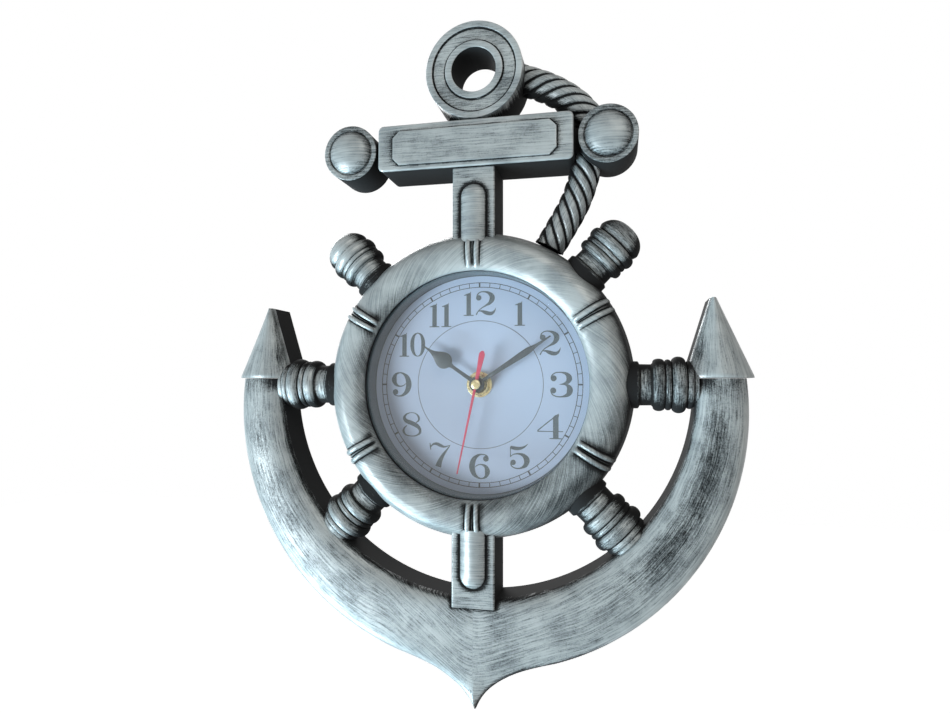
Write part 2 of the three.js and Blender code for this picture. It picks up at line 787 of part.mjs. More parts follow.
function stock() {
  const barX = [-stockHalfWidth, stockHalfWidth];
  const edge = corneredOutline(barX, [stockBottomZ, stockTopZ], stockCorner, 4);
  const plaqueX = [-plaqueHalfWidth, plaqueHalfWidth];
  const plaque = corneredOutline(plaqueX, [plaqueBottomZ, plaqueTopZ], plaqueCorner, 1);
  const hollow = block(
    [-stockHalfWidth + shellWall, stockHalfWidth - shellWall],
    [backDepth - overCut, stockDepth - shellWall],
    [stockBottomZ + shellWall, stockTopZ - shellWall],
  );
  return shaped(plate(edge, backDepth, stockDepth), {
    add: [plate(plaque, stockDepth - 1, stockDepth + plaqueHeight)],
    cut: [
      hollow,
      stockTongueBlock(fitGap),
      webTongueBlock(fitGap),
      knobNeckBlock(1, fitGap),
      knobNeckBlock(-1, fitGap),
    ],
  });
}

function knobNeckBlock(side, clearance) {
  const { halfHeight, near, far, reach } = knobNeck;
  const xs = [stockHalfWidth - reach - clearance, knobX - knobRadius + shellWall];
  return block(
    side > 0 ? xs : [-xs[1], -xs[0]],
    [near - clearance, far + clearance],
    [knobZ - halfHeight - clearance, knobZ + halfHeight + clearance],
  );
}

function knob(side) {
  const ceiling = knobDepth - shellWall;
  const inner = knobRadius - shellWall;
  const crown = [0, 32, 62].map((degrees) => {
    const [across, out] = polar(1, degrees);
    return [knobDomeRadius * across, knobDepth + knobDomeHeight * out];
  });
  const profile = [
    [0, ceiling], [inner, ceiling], [inner, backDepth], [knobRadius, backDepth],
    [knobRadius, knobDepth - edgeBevel], [knobRadius - edgeBevel, knobDepth],
    [knobDomeRadius + knobGroove, knobDepth],
    [knobDomeRadius, knobDepth - knobGroove],
    ...crown,
    [0, knobDepth + knobDomeHeight],
  ];
  const body = turned(profile, coarseSides, [side * knobX, knobZ]);
  return shaped(body, { add: [knobNeckBlock(side, 0)] });
}

function webTongueBlock(clearance) {
  const { half, length, near, far } = webTongue;
  return block(
    [-half - clearance, half + clearance],
    [near - clearance, far + clearance],
    [stockTopZ - length - clearance, stockTopZ + 2 * fitGap],
  );
}

function topEye() {
  const bandDepth = eyeDepth - eyeRecess;
  const ceiling = bandDepth - shellWall;
  const profile = [
    [eyeHoleRadius, backDepth], [eyeHoleRadius, eyeDepth], [eyeCollarRadius, eyeDepth],
    [eyeCollarRadius, bandDepth], [eyeRimInner, bandDepth], [eyeRimInner, eyeDepth],
    [eyeRadius - edgeBevel, eyeDepth], [eyeRadius, eyeDepth - edgeBevel],
    [eyeRadius, backDepth], [eyeRadius - shellWall, backDepth], [eyeRadius - shellWall, ceiling],
    [eyeHoleRadius + shellWall, ceiling], [eyeHoleRadius + shellWall, backDepth],
    [eyeHoleRadius, backDepth],
  ];
  const ring = turned(profile, eyeSides, [0, eyeZ]);
  const base = stockTopZ + fitGap;
  const web = plate(
    outlineOf([
      [-webHalfWidth, base], [webHalfWidth, base],
      [webTopHalfWidth, base + webHeight], [-webTopHalfWidth, base + webHeight],
    ]),
    backDepth, webDepth,
  );
  const clearBelow = block([-pastAll, pastAll], [0, pastAll], [stockBottomZ, base]);
  const clearInside = disc(eyeRadius - shellWall / 2, 0, pastAll, eyeSides, [0, eyeZ]);
  const trimmedWeb = shaped(web, { cut: [clearInside] });
  const ringAndWeb = shaped(ring, { add: [trimmedWeb], cut: [clearBelow] });
  return shaped(ringAndWeb, { add: [webTongueBlock(0)] });
}

// Rope: strands laid round each other, as one twisted section along the route.
function rope(route, cutters) {
  const path = new THREE.CatmullRomCurve3(route.map(([x, z]) => new THREE.Vector3(x, -ropeDepth, z)));
  const steps = Math.ceil(path.getLength() / ropeStep);
  const forward = new THREE.Vector3(0, -1, 0);
  const rings = Array.from({ length: steps + 1 }, (_, step) => {
    const centre = path.getPointAt(step / steps);
    const across = path.getTangentAt(step / steps).cross(forward).normalize();
    const lay = (2 * Math.PI * path.getLength() * step) / (steps * ropePitch);
    return Array.from({ length: ropeSides }, (__, side) => {
      const angle = (2 * Math.PI * side) / ropeSides;
      const radius = ropeRadius - (ropeGroove * (1 - Math.cos(ropeStrands * (angle - lay)))) / 2;
      return centre.clone()
        .addScaledVector(across, radius * Math.cos(angle))
        .addScaledVector(forward, radius * Math.sin(angle));
    });
  });
  return shaped(loft(rings), { cut: cutters });
}

function addRopes() {
  const depths = [0, pastAll];
  const stockSpace = block(
    [-stockHalfWidth - fitGap, stockHalfWidth + fitGap], depths,
    [stockBottomZ - fitGap, stockTopZ + fitGap],
  );
  const knobSpace = disc(knobRadius + fitGap, ...depths, fineSides, [knobX, knobZ]);
  const neckHalf = knobNeck.halfHeight + overCut;
  const neckSpace = block([stockHalfWidth, knobX], depths, [knobZ - neckHalf, knobZ + neckHalf]);
  const barEnd = [stockSpace, knobSpace, neckSpace];
  const eyeSpace = disc(eyeRadius + fitGap, ...depths, fineSides, [0, eyeZ]);
  const webSpace = block([-webHalfWidth - fitGap, webHalfWidth + fitGap], depths, [stockTopZ, eyeZ]);
  place("upper_rope", rope(upperRopeRoute, [...barEnd, eyeSpace, webSpace]), silver);
  place("lower_rope", rope(lowerRopeRoute, [...barEnd, rimEnvelope(fitGap)]), silver);
}

// Housing, lens and dial

const revealRadius = dialRadius + fitGap;
const housingRadius = revealRadius + revealFlare + housingWall;
const floorFront = dialDepth - dialThickness - stackGap;
const floorBack = floorFront - floorThickness;
const housingFront = lensFrontDepth - lensThickness - fitGap;
const flangeFront = backDepth - fitGap;
const flangeRadius = rimRadius + rimDraft - shellWall + flangeLap;
const gasketFront = floorBack - stackGap;
const hangerFront = gasketFront - gasketThickness - stackGap;
const caseFront = hangerFront - hangerThickness - stackGap;

function clockHousing() {
  const profile = [
    [housingRadius - housingWall, 0], [housingRadius, 0],
    [housingRadius, flangeFront - flangeThickness], [flangeRadius, flangeFront - flangeThickness],
    [flangeRadius, flangeFront], [housingRadius, flangeFront],
    [housingRadius, housingFront], [revealRadius + revealFlare, housingFront],
    [revealRadius, floorFront], [bushRadius + fitGap, floorFront],
    [bushRadius + fitGap, floorBack], [housingRadius - housingWall, floorBack],
    [housingRadius - housingWall, 0],
  ];
  const holes = screwAngles.map((angle) =>
    disc(screwRadius + fitGap, 0, flangeFront + overCut, smallSides, polar(rimCrestRadius, angle)),
  );
  return shaped(turned(profile, fineSides), { cut: holes });
}

function housingScrew(angle) {
  const seat = flangeFront - flangeThickness - stackGap;
  const head = seat - screwHeadHeight;
  return turned(
    [[0, head], [screwHeadRadius - screwHeadEdge, head], [screwHeadRadius, head + screwHeadEdge],
      [screwHeadRadius, seat], [screwRadius, seat], [screwRadius, seat + screwLength],
      [0, seat + screwLength + screwRadius / 2]],
    smallSides, polar(rimCrestRadius, angle),
  );
}

function addClockBody() {
  place("clock_housing", clockHousing(), greyPlastic);
  place("lens", disc(lensRadius, lensFrontDepth - lensThickness, lensFrontDepth, fineSides), clearGlass);
  const hole = bushRadius + fitGap;
  place("dial", tube(hole, dialRadius, dialDepth - dialThickness, dialDepth, fineSides), dialCard);
  const gasket = tube(hole, gasketRadius, gasketFront - gasketThickness, gasketFront, coarseSides);
  place("rubber_gasket", gasket, rubber);
  place("hanger_plate", hangerPlate(), steel);
  screwAngles.forEach((angle, i) => place(`housing_screw_${i + 1}`, housingScrew(angle), steel));
}

// Sheet bent back over the top of the movement, then up to the nail.
function hangerPlate() {
  const bendZ = caseHalf + fitGap;
  const side = outlineOf([
    [hangerFront - hangerThickness, hangerBottomZ], [hangerFront, hangerBottomZ],
    [hangerFront, bendZ + hangerThickness], [hangerBackDepth, bendZ + hangerThickness],
    [hangerBackDepth, hangerTopZ], [hangerBackDepth - hangerThickness, hangerTopZ],
    [hangerBackDepth - hangerThickness, bendZ], [hangerFront - hangerThickness, bendZ],
  ]);
  const strip = new THREE.ExtrudeGeometry(side, { depth: 2 * hangerHalfWidth, bevelEnabled: false })
    .applyMatrix4(new THREE.Matrix4().makeBasis(
      new THREE.Vector3(0, -1, 0), new THREE.Vector3(0, 0, 1), new THREE.Vector3(-1, 0, 0),
    ))
    .translate(hangerHalfWidth, 0, 0);
  const nailSpan = [hangerBackDepth - hangerThickness - overCut, hangerBackDepth + overCut];
  const keyhole = disc(keyholeRadius, ...nailSpan, coarseSides, [0, keyholeZ]);
  const slotEnd = disc(nailSlotRadius, ...nailSpan, mediumSides, [0, nailSlotZ]);
  const slot = block([-nailSlotRadius, nailSlotRadius], nailSpan, [keyholeZ, nailSlotZ]);
  const frontSpan = [hangerFront - hangerThickness - overCut, hangerFront + overCut];
  const shaft = disc(bushRadius + fitGap, ...frontSpan, coarseSides);
  return shaped(strip, { cut: [shaft, keyhole, slot, slotEnd] });
}

// Movement case: wheels above, battery below, both open to the back

const chamberHalf = caseHalf - caseWall;
const chamberFront = caseFront - caseWall;
const dividerZ = bayTopZ + caseWall;
const supportSpots = [[1, 11], [1, -8.4], [-1, 10], [-1, -8.4]];
const supportHalf = 2;
const plateFront = trainPlate.near + trainPlate.thickness;
const coverFront = caseBackDepth - stackGap;
const coverBack = coverFront - coverThickness;
const pivotHole = arborRadius + pivotPlay;
const centreAxis = [0, 0];

const thirdDistance = (thirdStage.module * (thirdStage.teeth + pinionTeeth)) / 2 + meshPlay;
const minuteModule = (2 * (thirdDistance - meshPlay)) / (minuteTeeth + pinionTeeth);
const settingModule = (2 * (settingDistance - meshPlay)) / (settingTeeth + cannonTeeth);
const hourModule = (2 * (settingDistance - meshPlay)) / (hourTeeth + settingPinionTeeth);
const secondsDistance = (secondsStage.module * (secondsStage.teeth + pinionTeeth)) / 2 + meshPlay;
const rotorDistance = (rotorStage.module * (rotorStage.teeth + pinionTeeth)) / 2 + meshPlay;
const thirdAxis = polar(thirdDistance, thirdBearing);
const intermediateAxis = polar(secondsDistance, intermediateBearing);
const rotorAxis = polar(rotorDistance, rotorBearing, intermediateAxis);
const settingAxis = polar(settingDistance, settingBearing);

function movementCase() {
  const outside = corneredOutline([-caseHalf, caseHalf], [-caseHalf, caseHalf], caseCorner, 3);
  const chamber = block([-chamberHalf, chamberHalf], [0, chamberFront], [dividerZ, chamberHalf]);
  const bay = block([-chamberHalf, chamberHalf], [0, chamberFront], [-chamberHalf, bayTopZ]);
  const shaft = disc(bushRadius + fitGap, chamberFront - overCut, caseFront + overCut, coarseSides);
  const blinds = [thirdAxis, settingAxis].map((axis) =>
    disc(pivotHole, chamberFront - overCut, chamberFront + blindDepth, smallSides, axis),
  );
  const supports = supportSpots.map(([side, z]) => {
    const xs = [chamberHalf - 2 * supportHalf, chamberHalf + caseWall / 2];
    return block(
      side > 0 ? xs : [-xs[1], -xs[0]],
      [plateFront + stackGap, chamberFront + caseWall / 2],
      [z - supportHalf, z + supportHalf],
    );
  });
  const hollow = shaped(plate(outside, caseBackDepth, caseFront), { cut: [chamber, bay] });
  return shaped(hollow, { add: supports, cut: [shaft, ...blinds] });
}

function movementCover() {
  const outside = corneredOutline([-caseHalf, caseHalf], [bayTopZ, caseHalf], caseCorner, 2);
  const pegs = supportSpots.map(([side, z]) =>
    disc(supportHalf - fitGap, coverFront - coverThickness / 2, trainPlate.near - stackGap, smallSides,
      [side * (chamberHalf - supportHalf - fitGap), z]),
  );
  const holes = [centreAxis, thirdAxis, intermediateAxis, rotorAxis, settingAxis].map((axis) =>
    disc(pivotHole, coverBack - overCut, coverFront + overCut, smallSides, axis),
  );
  return shaped(plate(outside, coverBack, coverFront), { add: pegs, cut: holes });
}

function middlePlate() {
  const half = chamberHalf - fitGap;
  const { near } = trainPlate;
  const span = [near - overCut, plateFront + overCut];
  const sheet = block([-half, half], [near, plateFront], [dividerZ + fitGap, half]);
  const windowHalf = coilRadius + 2 * fitGap;
  const windowX = [coilSpan[0] - fitGap, coilSpan[1] + fitGap];
  const window = block(windowX, span, [coilZ - windowHalf, coilZ + windowHalf]);
  const thirdHole = (thirdStage.module * pinionTeeth) / 2 + 2 * runningGap;
  const pivots = [centreAxis, intermediateAxis, rotorAxis, settingAxis].map((axis) =>
    disc(pivotHole, ...span, smallSides, axis),
  );
  return shaped(sheet, { cut: [window, disc(thirdHole, ...span, mediumSides, thirdAxis), ...pivots] });
}

// Stepping motor: coil on a core strip, stator round the magnet, and the board that drives it

const coilSpan = [-21.2, -7.8];
const coilZ = 20.8;
const coilRadius = 2.9;
const coreOverhang = 3.4;
const statorFront = trainPlate.near - stackGap;
const statorBack = statorFront - statorThickness;
const coreFront = statorBack - stackGap;
const coreThickness = 0.8;
const coilDepth = coreFront - coreThickness / 2;
const statorRing = 4.3;
const statorLegTop = coilZ + 2;
const statorBarZ = [12.6, 16.2];
const coreHalfWidth = 1.5;
const bobbinFlange = { thickness: 0.8, height: 0.5 };
const board = { x: [7.5, 25.5], z: [15, 25.6], thickness: 1.2 };
const chip = { x: [12, 17], z: [18, 22.5], height: 0.8 };
const crystal = { x: [17.8, 24.2], z: 23, radius: 1 };

function coil() {
  const flange = bobbinFlange.thickness;
  const wound = coilRadius - bobbinFlange.height;
  const [start, end] = coilSpan;
  const bobbin = turnedAlongX(
    [[0, start], [coilRadius, start], [coilRadius, start + flange], [wound, start + flange],
      [wound, end - flange], [coilRadius, end - flange], [coilRadius, end], [0, end]],
    mediumSides, coilDepth,
  ).translate(0, 0, coilZ);
  const core = block(
    [start - coreOverhang, end + coreOverhang],
    [coreFront - coreThickness, coreFront],
    [coilZ - coreHalfWidth, coilZ + coreHalfWidth],
  );
  return shaped(bobbin, { add: [core] });
}

function stator() {
  const span = [statorBack, statorFront];
  const [left, right] = [coilSpan[0] - coreOverhang, coilSpan[1] + coreOverhang];
  const legWidth = coreOverhang - fitGap;
  const [x, z] = rotorAxis;
  const holeSpan = [statorBack - overCut, statorFront + overCut];
  const hole = disc(magnetRadius + runningGap, ...holeSpan, coarseSides, rotorAxis);
  return shaped(disc(statorRing, ...span, coarseSides, rotorAxis), {
    add: [
      block([x - statorRing, x + statorRing], span, [z, statorBarZ[0] + fitGap]),
      block([left, right], span, statorBarZ),
      block([left, left + legWidth], span, [statorBarZ[0], statorLegTop]),
      block([right - legWidth, right], span, [statorBarZ[0], statorLegTop]),
    ],
    cut: [hole],
  });
}

function circuitBoard() {
  const back = statorFront - board.thickness;
  const sheet = block(board.x, [back, statorFront], board.z);
  const cap = block(chip.x, [back - chip.height, back + stackGap], chip.z);
  const [start, end] = crystal.x;
  const canProfile = [[0, start], [crystal.radius, start], [crystal.radius, end], [0, end]];
  const can = turnedAlongX(canProfile, smallSides, back - crystal.radius / 2).translate(0, 0, crystal.z);
  return shaped(sheet, { add: [cap, can] });
}

// Toothed wheels. A wheel has pointed teeth and a gap that faces its pinion, and a pinion has
// narrow blunt teeth, one of which faces its wheel.

function bearingOf(from, to) {
  return Math.atan2(to[1] - from[1], to[0] - from[0]);
}

function wheelOutline(teeth, module, bearing) {
  const pitch = (2 * Math.PI) / teeth;
  const root = (module * teeth) / 2 - 1.3 * module;
  const tip = (module * teeth) / 2 + 0.9 * module;
  const points = [];
  for (let tooth = 0; tooth < teeth; tooth += 1) {
    const gap = bearing + tooth * pitch;
    points.push([root * Math.cos(gap), root * Math.sin(gap)]);
    points.push([tip * Math.cos(gap + pitch / 2), tip * Math.sin(gap + pitch / 2)]);
  }
  return outlineOf(points);
}

function pinionOutline(teeth, module, bearing) {
  const pitch = (2 * Math.PI) / teeth;
  const root = (module * teeth) / 2 - 1.3 * module;
  const tip = (module * teeth) / 2 + 0.85 * module;
  const points = [];
  for (let tooth = 0; tooth < teeth; tooth += 1) {
    for (const [radius, share] of [[root, -0.25], [tip, -0.08], [tip, 0.08], [root, 0.25]]) {
      const angle = bearing + (tooth + share) * pitch;
      points.push([radius * Math.cos(angle), radius * Math.sin(angle)]);
    }
  }
  return outlineOf(points);
}

function toothed(outline, near, far, [x, z]) {
  return plate(outline, near, far).translate(x, 0, z);
}

function wheelAt(teeth, module, near, axis, mateAxis) {
  const outline = wheelOutline(teeth, module, bearingOf(axis, mateAxis));
  return toothed(outline, near, near + wheelThickness, axis);
}

function pinionAt(teeth, module, near, far, axis, mateAxis) {
  return toothed(pinionOutline(teeth, module, bearingOf(axis, mateAxis)), near, far, axis);
}

const arborStart = coverBack + arborInset;
const innerArborEnd = plateFront - stackGap;
const wallArborEnd = chamberFront + blindDepth - fitGap;
const settingKnobSpan = [settingKnob.backDepth, coverBack - fitGap];

// A pinion runs a little past the wheel that it meets.
const pinionEnd = (layerDepth) => layerDepth + wheelThickness + stackGap;

function rotor() {
  const { module } = rotorStage;
  const near = layerDepths.intermediate - rotorPinion.lead;
  const far = near + rotorPinion.length;
  const pinion = pinionAt(pinionTeeth, module, near, far, rotorAxis, intermediateAxis);
  const magnet = disc(magnetRadius, far, statorFront - stackGap, mediumSides, rotorAxis);
  return shaped(disc(arborRadius, arborStart, innerArborEnd, smallSides, rotorAxis), {
    add: [pinion, magnet],
  });
}

function intermediateWheel() {
  const near = layerDepths.intermediate;
  const far = pinionEnd(layerDepths.seconds);
  const { teeth, module } = rotorStage;
  return shaped(disc(arborRadius, arborStart, innerArborEnd, smallSides, intermediateAxis), {
    add: [
      wheelAt(teeth, module, near, intermediateAxis, rotorAxis),
      pinionAt(pinionTeeth, secondsStage.module, near + wheelThickness / 2, far, intermediateAxis, centreAxis),
    ],
  });
}

function secondsWheel() {
  const near = layerDepths.seconds;
  const far = pinionEnd(layerDepths.third);
  const { teeth, module } = secondsStage;
  return shaped(disc(arborRadius, arborStart, secondsArborEnd, smallSides), {
    add: [
      wheelAt(teeth, module, near, centreAxis, intermediateAxis),
      pinionAt(pinionTeeth, thirdStage.module, near + wheelThickness / 2, far, centreAxis, thirdAxis),
    ],
  });
}

function thirdWheel() {
  const near = layerDepths.third;
  const far = pinionEnd(layerDepths.minute);
  return shaped(disc(arborRadius, arborStart, wallArborEnd, smallSides, thirdAxis), {
    add: [
      wheelAt(thirdStage.teeth, thirdStage.module, near, thirdAxis, centreAxis),
      pinionAt(pinionTeeth, minuteModule, near + wheelThickness / 2, far, thirdAxis, centreAxis),
    ],
  });
}

function minuteWheel() {
  const near = layerDepths.minute;
  const cannonEnd = pinionEnd(layerDepths.setting);
  const bore = disc(minuteTube.inner, near - overCut, minuteTube.end + overCut, smallSides);
  return shaped(disc(minuteTube.outer, near, minuteTube.end, smallSides), {
    add: [
      wheelAt(minuteTeeth, minuteModule, near, centreAxis, thirdAxis),
      pinionAt(cannonTeeth, settingModule, near + wheelThickness / 2, cannonEnd, centreAxis, settingAxis),
    ],
    cut: [bore],
  });
}

function settingWheel() {
  const near = layerDepths.setting;
  const far = pinionEnd(layerDepths.hour);
  return shaped(disc(arborRadius, settingKnobSpan[0] + stackGap, wallArborEnd, smallSides, settingAxis), {
    add: [
      wheelAt(settingTeeth, settingModule, near, settingAxis, centreAxis),
      pinionAt(settingPinionTeeth, hourModule, near + wheelThickness / 2, far, settingAxis, centreAxis),
    ],
  });
}

function hourWheel() {
  const near = layerDepths.hour;
  return shaped(disc(hourTube.outer, near, hourTube.end, coarseSides), {
    add: [wheelAt(hourTeeth, hourModule, near, centreAxis, settingAxis)],
    cut: [disc(hourTube.inner, near - overCut, hourTube.end + overCut, coarseSides)],
  });
}

function addTrain() {
  place("rotor", rotor(), blackPlastic);
  place("intermediate_wheel", intermediateWheel(), whitePlastic);
  place("seconds_wheel", secondsWheel(), whitePlastic);
  place("third_wheel", thirdWheel(), whitePlastic);
  place("minute_wheel", minuteWheel(), whitePlastic);
  place("setting_wheel", settingWheel(), whitePlastic);
  place("hour_wheel", hourWheel(), whitePlastic);
  const knobBore = arborRadius + pressGap;
  const knob = tube(knobBore, settingKnob.radius, ...settingKnobSpan, mediumSides, settingAxis);
  place("setting_knob", knob, blackPlastic);
}

// Bush, washer and nut that clamp the dial

const washerFront = dialDepth + stackGap + washerThickness;
const nutFront = washerFront + stackGap + nutThickness;

function centreBush() {
  const bore = hourTube.outer + runningGap;
  const seat = chamberFront - stackGap;
  const back = seat - bushFlange.thickness;
  const end = dialDepth + bushTop;
  return turned(
    [[bore, back], [bushFlange.radius, back], [bushFlange.radius, seat], [bushRadius, seat],
      [bushRadius, end - bushChamfer], [bushRadius - bushChamfer, end], [bore, end], [bore, back]],
    coarseSides,
  );
}

function centreNut() {
  const corners = arcPoints([0, 0], nutAcrossCorners / 2, 0, (5 * Math.PI) / 3, 5);
  const body = plate(new THREE.Shape(corners), washerFront + stackGap, nutFront);
  return shaped(body, { cut: [disc(bushRadius + fitGap, 0, nutFront + overCut, coarseSides)] });
}

// Battery and its contacts

const batteryCentreZ = (bayTopZ - chamberHalf) / 2;
const batteryDepth = chamberFront - fitGap - batteryRadius;

function battery() {
  const half = batteryLength / 2;
  const { radius, length } = batteryNub;
  const shoulder = half - length;
  return turnedAlongX(
    [[0, -half], [batteryRadius - batteryEdge, -half], [batteryRadius, batteryEdge - half],
      [batteryRadius, shoulder - batteryEdge], [batteryRadius - batteryEdge, shoulder],
      [radius, shoulder], [radius, half], [0, half]],
    coarseSides, batteryDepth,
  ).translate(0, 0, batteryCentreZ);
}

// A leaf against the end wall, with a raised boss or spring towards the cell.
function batteryContact(side, boss) {
  const outer = chamberHalf - stackGap;
  const inner = outer - contactThickness;
  const middle = outer - contactThickness / 2;
  const tip = batteryLength / 2 + pressGap;
  const leaf = block(
    [inner, outer],
    [batteryDepth - contactHalf.depth, batteryDepth + contactHalf.depth],
    [batteryCentreZ - contactHalf.z, batteryCentreZ + contactHalf.z],
  );
  const bossProfile = [[0, tip], [boss.tip, tip], [boss.root, middle], [0, middle]];
  const raised = turnedAlongX(bossProfile, mediumSides, batteryDepth).translate(0, 0, batteryCentreZ);
  const contact = shaped(leaf, { add: [raised] });
  return side > 0 ? contact : contact.rotateY(Math.PI).translate(0, 0, 2 * batteryCentreZ);
}

function addMovement() {
  place("movement_case", movementCase(), blackPlastic);
  place("movement_cover", movementCover(), blackPlastic);
  place("train_plate", middlePlate(), whitePlastic);
  place("circuit_board", circuitBoard(), boardGreen);
  place("coil", coil(), copper);
  place("stator", stator(), steel);
  place("centre_bush", centreBush(), brass);
  const washer = tube(bushRadius + fitGap, washerRadius, dialDepth + stackGap, washerFront, coarseSides);
  place("dial_washer", washer, brass);
  place("centre_nut", centreNut(), brass);
  place("battery", battery(), batteryJacket);
  place("positive_contact", batteryContact(1, positiveBoss), steel);
  place("negative_contact", batteryContact(-1, negativeSpring), steel);
}

// Hands, drawn at twelve o'clock and turned to the time shown

// Half of an outline, from root to tip, and its mirror image.
function mirrored(right) {
  const left = right.map(([x, z]) => [-x, z]).reverse();
  return outlineOf([...right, ...left]);
}

function hourHandOutline() {
  const { z, radius, stem, shoulder, shoulderZ, tip } = hourBulb;
  const back = new THREE.QuadraticBezierCurve(
    new THREE.Vector2(stem, z - radius),
    new THREE.Vector2(radius, z - radius),
    new THREE.Vector2(radius, z),
  );
  const front = new THREE.CubicBezierCurve(
    new THREE.Vector2(radius, z),
    new THREE.Vector2(radius, z + 0.9 * radius),
    new THREE.Vector2(radius / 3, z + 1.3 * radius),
    new THREE.Vector2(shoulder, shoulderZ),
  );
  const bulb = [...back.getPoints(4), ...front.getPoints(5).slice(1)].map((p) => [p.x, p.y]);
  return mirrored([[stem, handRootZ], ...bulb, [tip, hourHand.length]]);
}

function minuteHandOutline() {
  const { root, widestZ, widest, neckZ, neck, tip } = minuteBlade;
  return mirrored([
    [root, handRootZ], [widest, widestZ - 1], [widest, widestZ + 1],
    [neck, neckZ], [tip, minuteHand.length],
  ]);
}

function secondHandOutline() {
  const { length, tail } = secondHand;
  const radius = secondBlade.tail;
  const end = arcPoints([0, radius - tail], radius, Math.PI, 2 * Math.PI, 6).map((p) => [p.x, p.y]);
  const { hub, tip } = secondBlade;
  return outlineOf([[hub, 0], [tip, length], [-tip, length], [-hub, 0], ...end]);
}

function hand(outline, { depth, hub }, bore, sides) {
  const span = [depth, depth + handThickness];
  return shaped(plate(outline, ...span, 4), {
    add: [disc(hub, ...span, sides)],
    cut: [disc(bore, depth - overCut, depth + overCut, mediumSides)],
  });
}

// Turned rivet that carries the second hand on its arbor.
const rivetNeck = arborRadius + pressGap + rivetWall;

function handCap() {
  const base = secondHand.depth - rivetFoot;
  const head = secondHand.depth + handThickness + stackGap;
  const bore = arborRadius + pressGap;
  const crown = [30, 60].map((degrees) => {
    const [across, out] = polar(1, degrees);
    return [capRadius * across, head + capEdge + (capHeight - capEdge) * out];
  });
  return turned(
    [[0, secondsArborEnd + fitGap], [bore, secondsArborEnd + fitGap], [bore, base], [rivetNeck, base],
      [rivetNeck, head], [capRadius, head], [capRadius, head + capEdge], ...crown, [0, head + capHeight]],
    mediumSides,
  );
}

function addHands() {
  const fit = 2 * pressGap;
  const hourBlade = hand(hourHandOutline(), hourHand, hourTube.outer + fit, coarseSides);
  const longBlade = hand(minuteHandOutline(), minuteHand, minuteTube.outer + fit, coarseSides);
  const thinBlade = hand(secondHandOutline(), secondHand, rivetNeck + pressGap, mediumSides);
  place("hour_hand", hourBlade, handPaint, radians(hourHand.angle));
  place("minute_hand", longBlade, handPaint, radians(minuteHand.angle));
  place("second_hand", thinBlade, redPaint, radians(secondHand.angle));
  place("hand_cap", handCap(), brass);
}

place("anchor_arms", anchorArms(), silver);
place("right_fluke", fluke(1), silver);
place("left_fluke", fluke(-1), silver);
place("upper_shank", shank(1), silver);
place("lower_shank", shank(-1), silver);
place("stock", stock(), silver);
place("right_knob", knob(1), silver);
place("left_knob", knob(-1), silver);
place("top_eye", topEye(), silver);
addRopes();
place("wheel_rim", wheelRim(), silver);
addSpokes();
addClockBody();
addMovement();
addTrain();
addHands();

export default clock;
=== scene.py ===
import math
import bmesh
import bpy
import numpy as np
from mathutils import Matrix, Vector


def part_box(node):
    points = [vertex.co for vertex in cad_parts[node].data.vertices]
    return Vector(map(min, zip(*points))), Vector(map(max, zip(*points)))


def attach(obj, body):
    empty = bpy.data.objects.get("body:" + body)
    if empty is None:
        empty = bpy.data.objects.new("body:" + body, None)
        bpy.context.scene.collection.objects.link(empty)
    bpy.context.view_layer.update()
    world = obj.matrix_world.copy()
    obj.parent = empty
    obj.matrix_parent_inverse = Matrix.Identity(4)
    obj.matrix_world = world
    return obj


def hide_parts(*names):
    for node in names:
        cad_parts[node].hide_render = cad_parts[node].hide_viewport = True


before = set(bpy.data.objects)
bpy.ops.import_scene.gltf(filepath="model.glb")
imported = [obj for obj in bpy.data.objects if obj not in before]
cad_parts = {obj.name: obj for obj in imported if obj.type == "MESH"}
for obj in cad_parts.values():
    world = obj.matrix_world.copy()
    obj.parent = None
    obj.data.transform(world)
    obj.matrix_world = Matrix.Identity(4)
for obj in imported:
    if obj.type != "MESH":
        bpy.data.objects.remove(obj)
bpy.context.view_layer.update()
print("frame loaded:", len(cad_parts), "nodes")

# Shapes are worked out in millimetres: x to the right, depth out from the wall, z up.
# A point becomes (x, -depth, z) in metres when its mesh is made.
mm = 0.001
anchor = {"back": 12.5, "wall": 2.4}


# Grids and meshes

def smoothStep(low, high, x):
    # 0 below low, 1 above high, an S curve between
    t = np.clip((x - low) / (high - low), 0, 1)
    return t * t * (3 - 2 * t)


def roundBump(x, half):
    # half an ellipse over -half..half, 0 outside
    return np.sqrt(np.clip(1 - (x / half) ** 2, 0, 1))


def softBump(x, half):
    # bell curve, 1 at x = 0
    return np.exp(-((x / half) ** 2))


def blend(a, b, share):
    return a + (b - a) * share


def easedShares(count):
    # 0 to 1, closer together near both ends
    return (1 - np.cos(np.linspace(0, np.pi, count))) / 2


def superDome(share, power):
    # superellipse, 0 at both ends and 1 in the middle
    return (1 - np.abs(2 * share - 1) ** power) ** (1 / power)


def at(x, depth, z):
    # three arrays of one shape, joined into points
    x, depth, z = np.broadcast_arrays(x, depth, z)
    return np.stack([x, -depth, z], axis=-1).astype(float)


def arc(fromDegrees, toDegrees, count):
    return np.radians(np.linspace(fromDegrees, toDegrees, count))


def onCircle(turn, radius=1.0):
    return radius * np.stack([np.cos(turn), np.sin(turn)], axis=1)


def columns(rows, *parts):
    # Side by side: a number or a list of numbers is repeated down all rows
    parts = [np.atleast_2d(part) for part in parts]
    return np.hstack([np.broadcast_to(part, (rows, part.shape[1])) for part in parts])


def signedVolume(points, quads):
    # six times the volume under the quads, each cut into two triangles
    a, b, c, d = (points[quads[:, i]] for i in range(4))
    return float(np.sum(a * np.cross(b, c)) + np.sum(a * np.cross(c, d)))


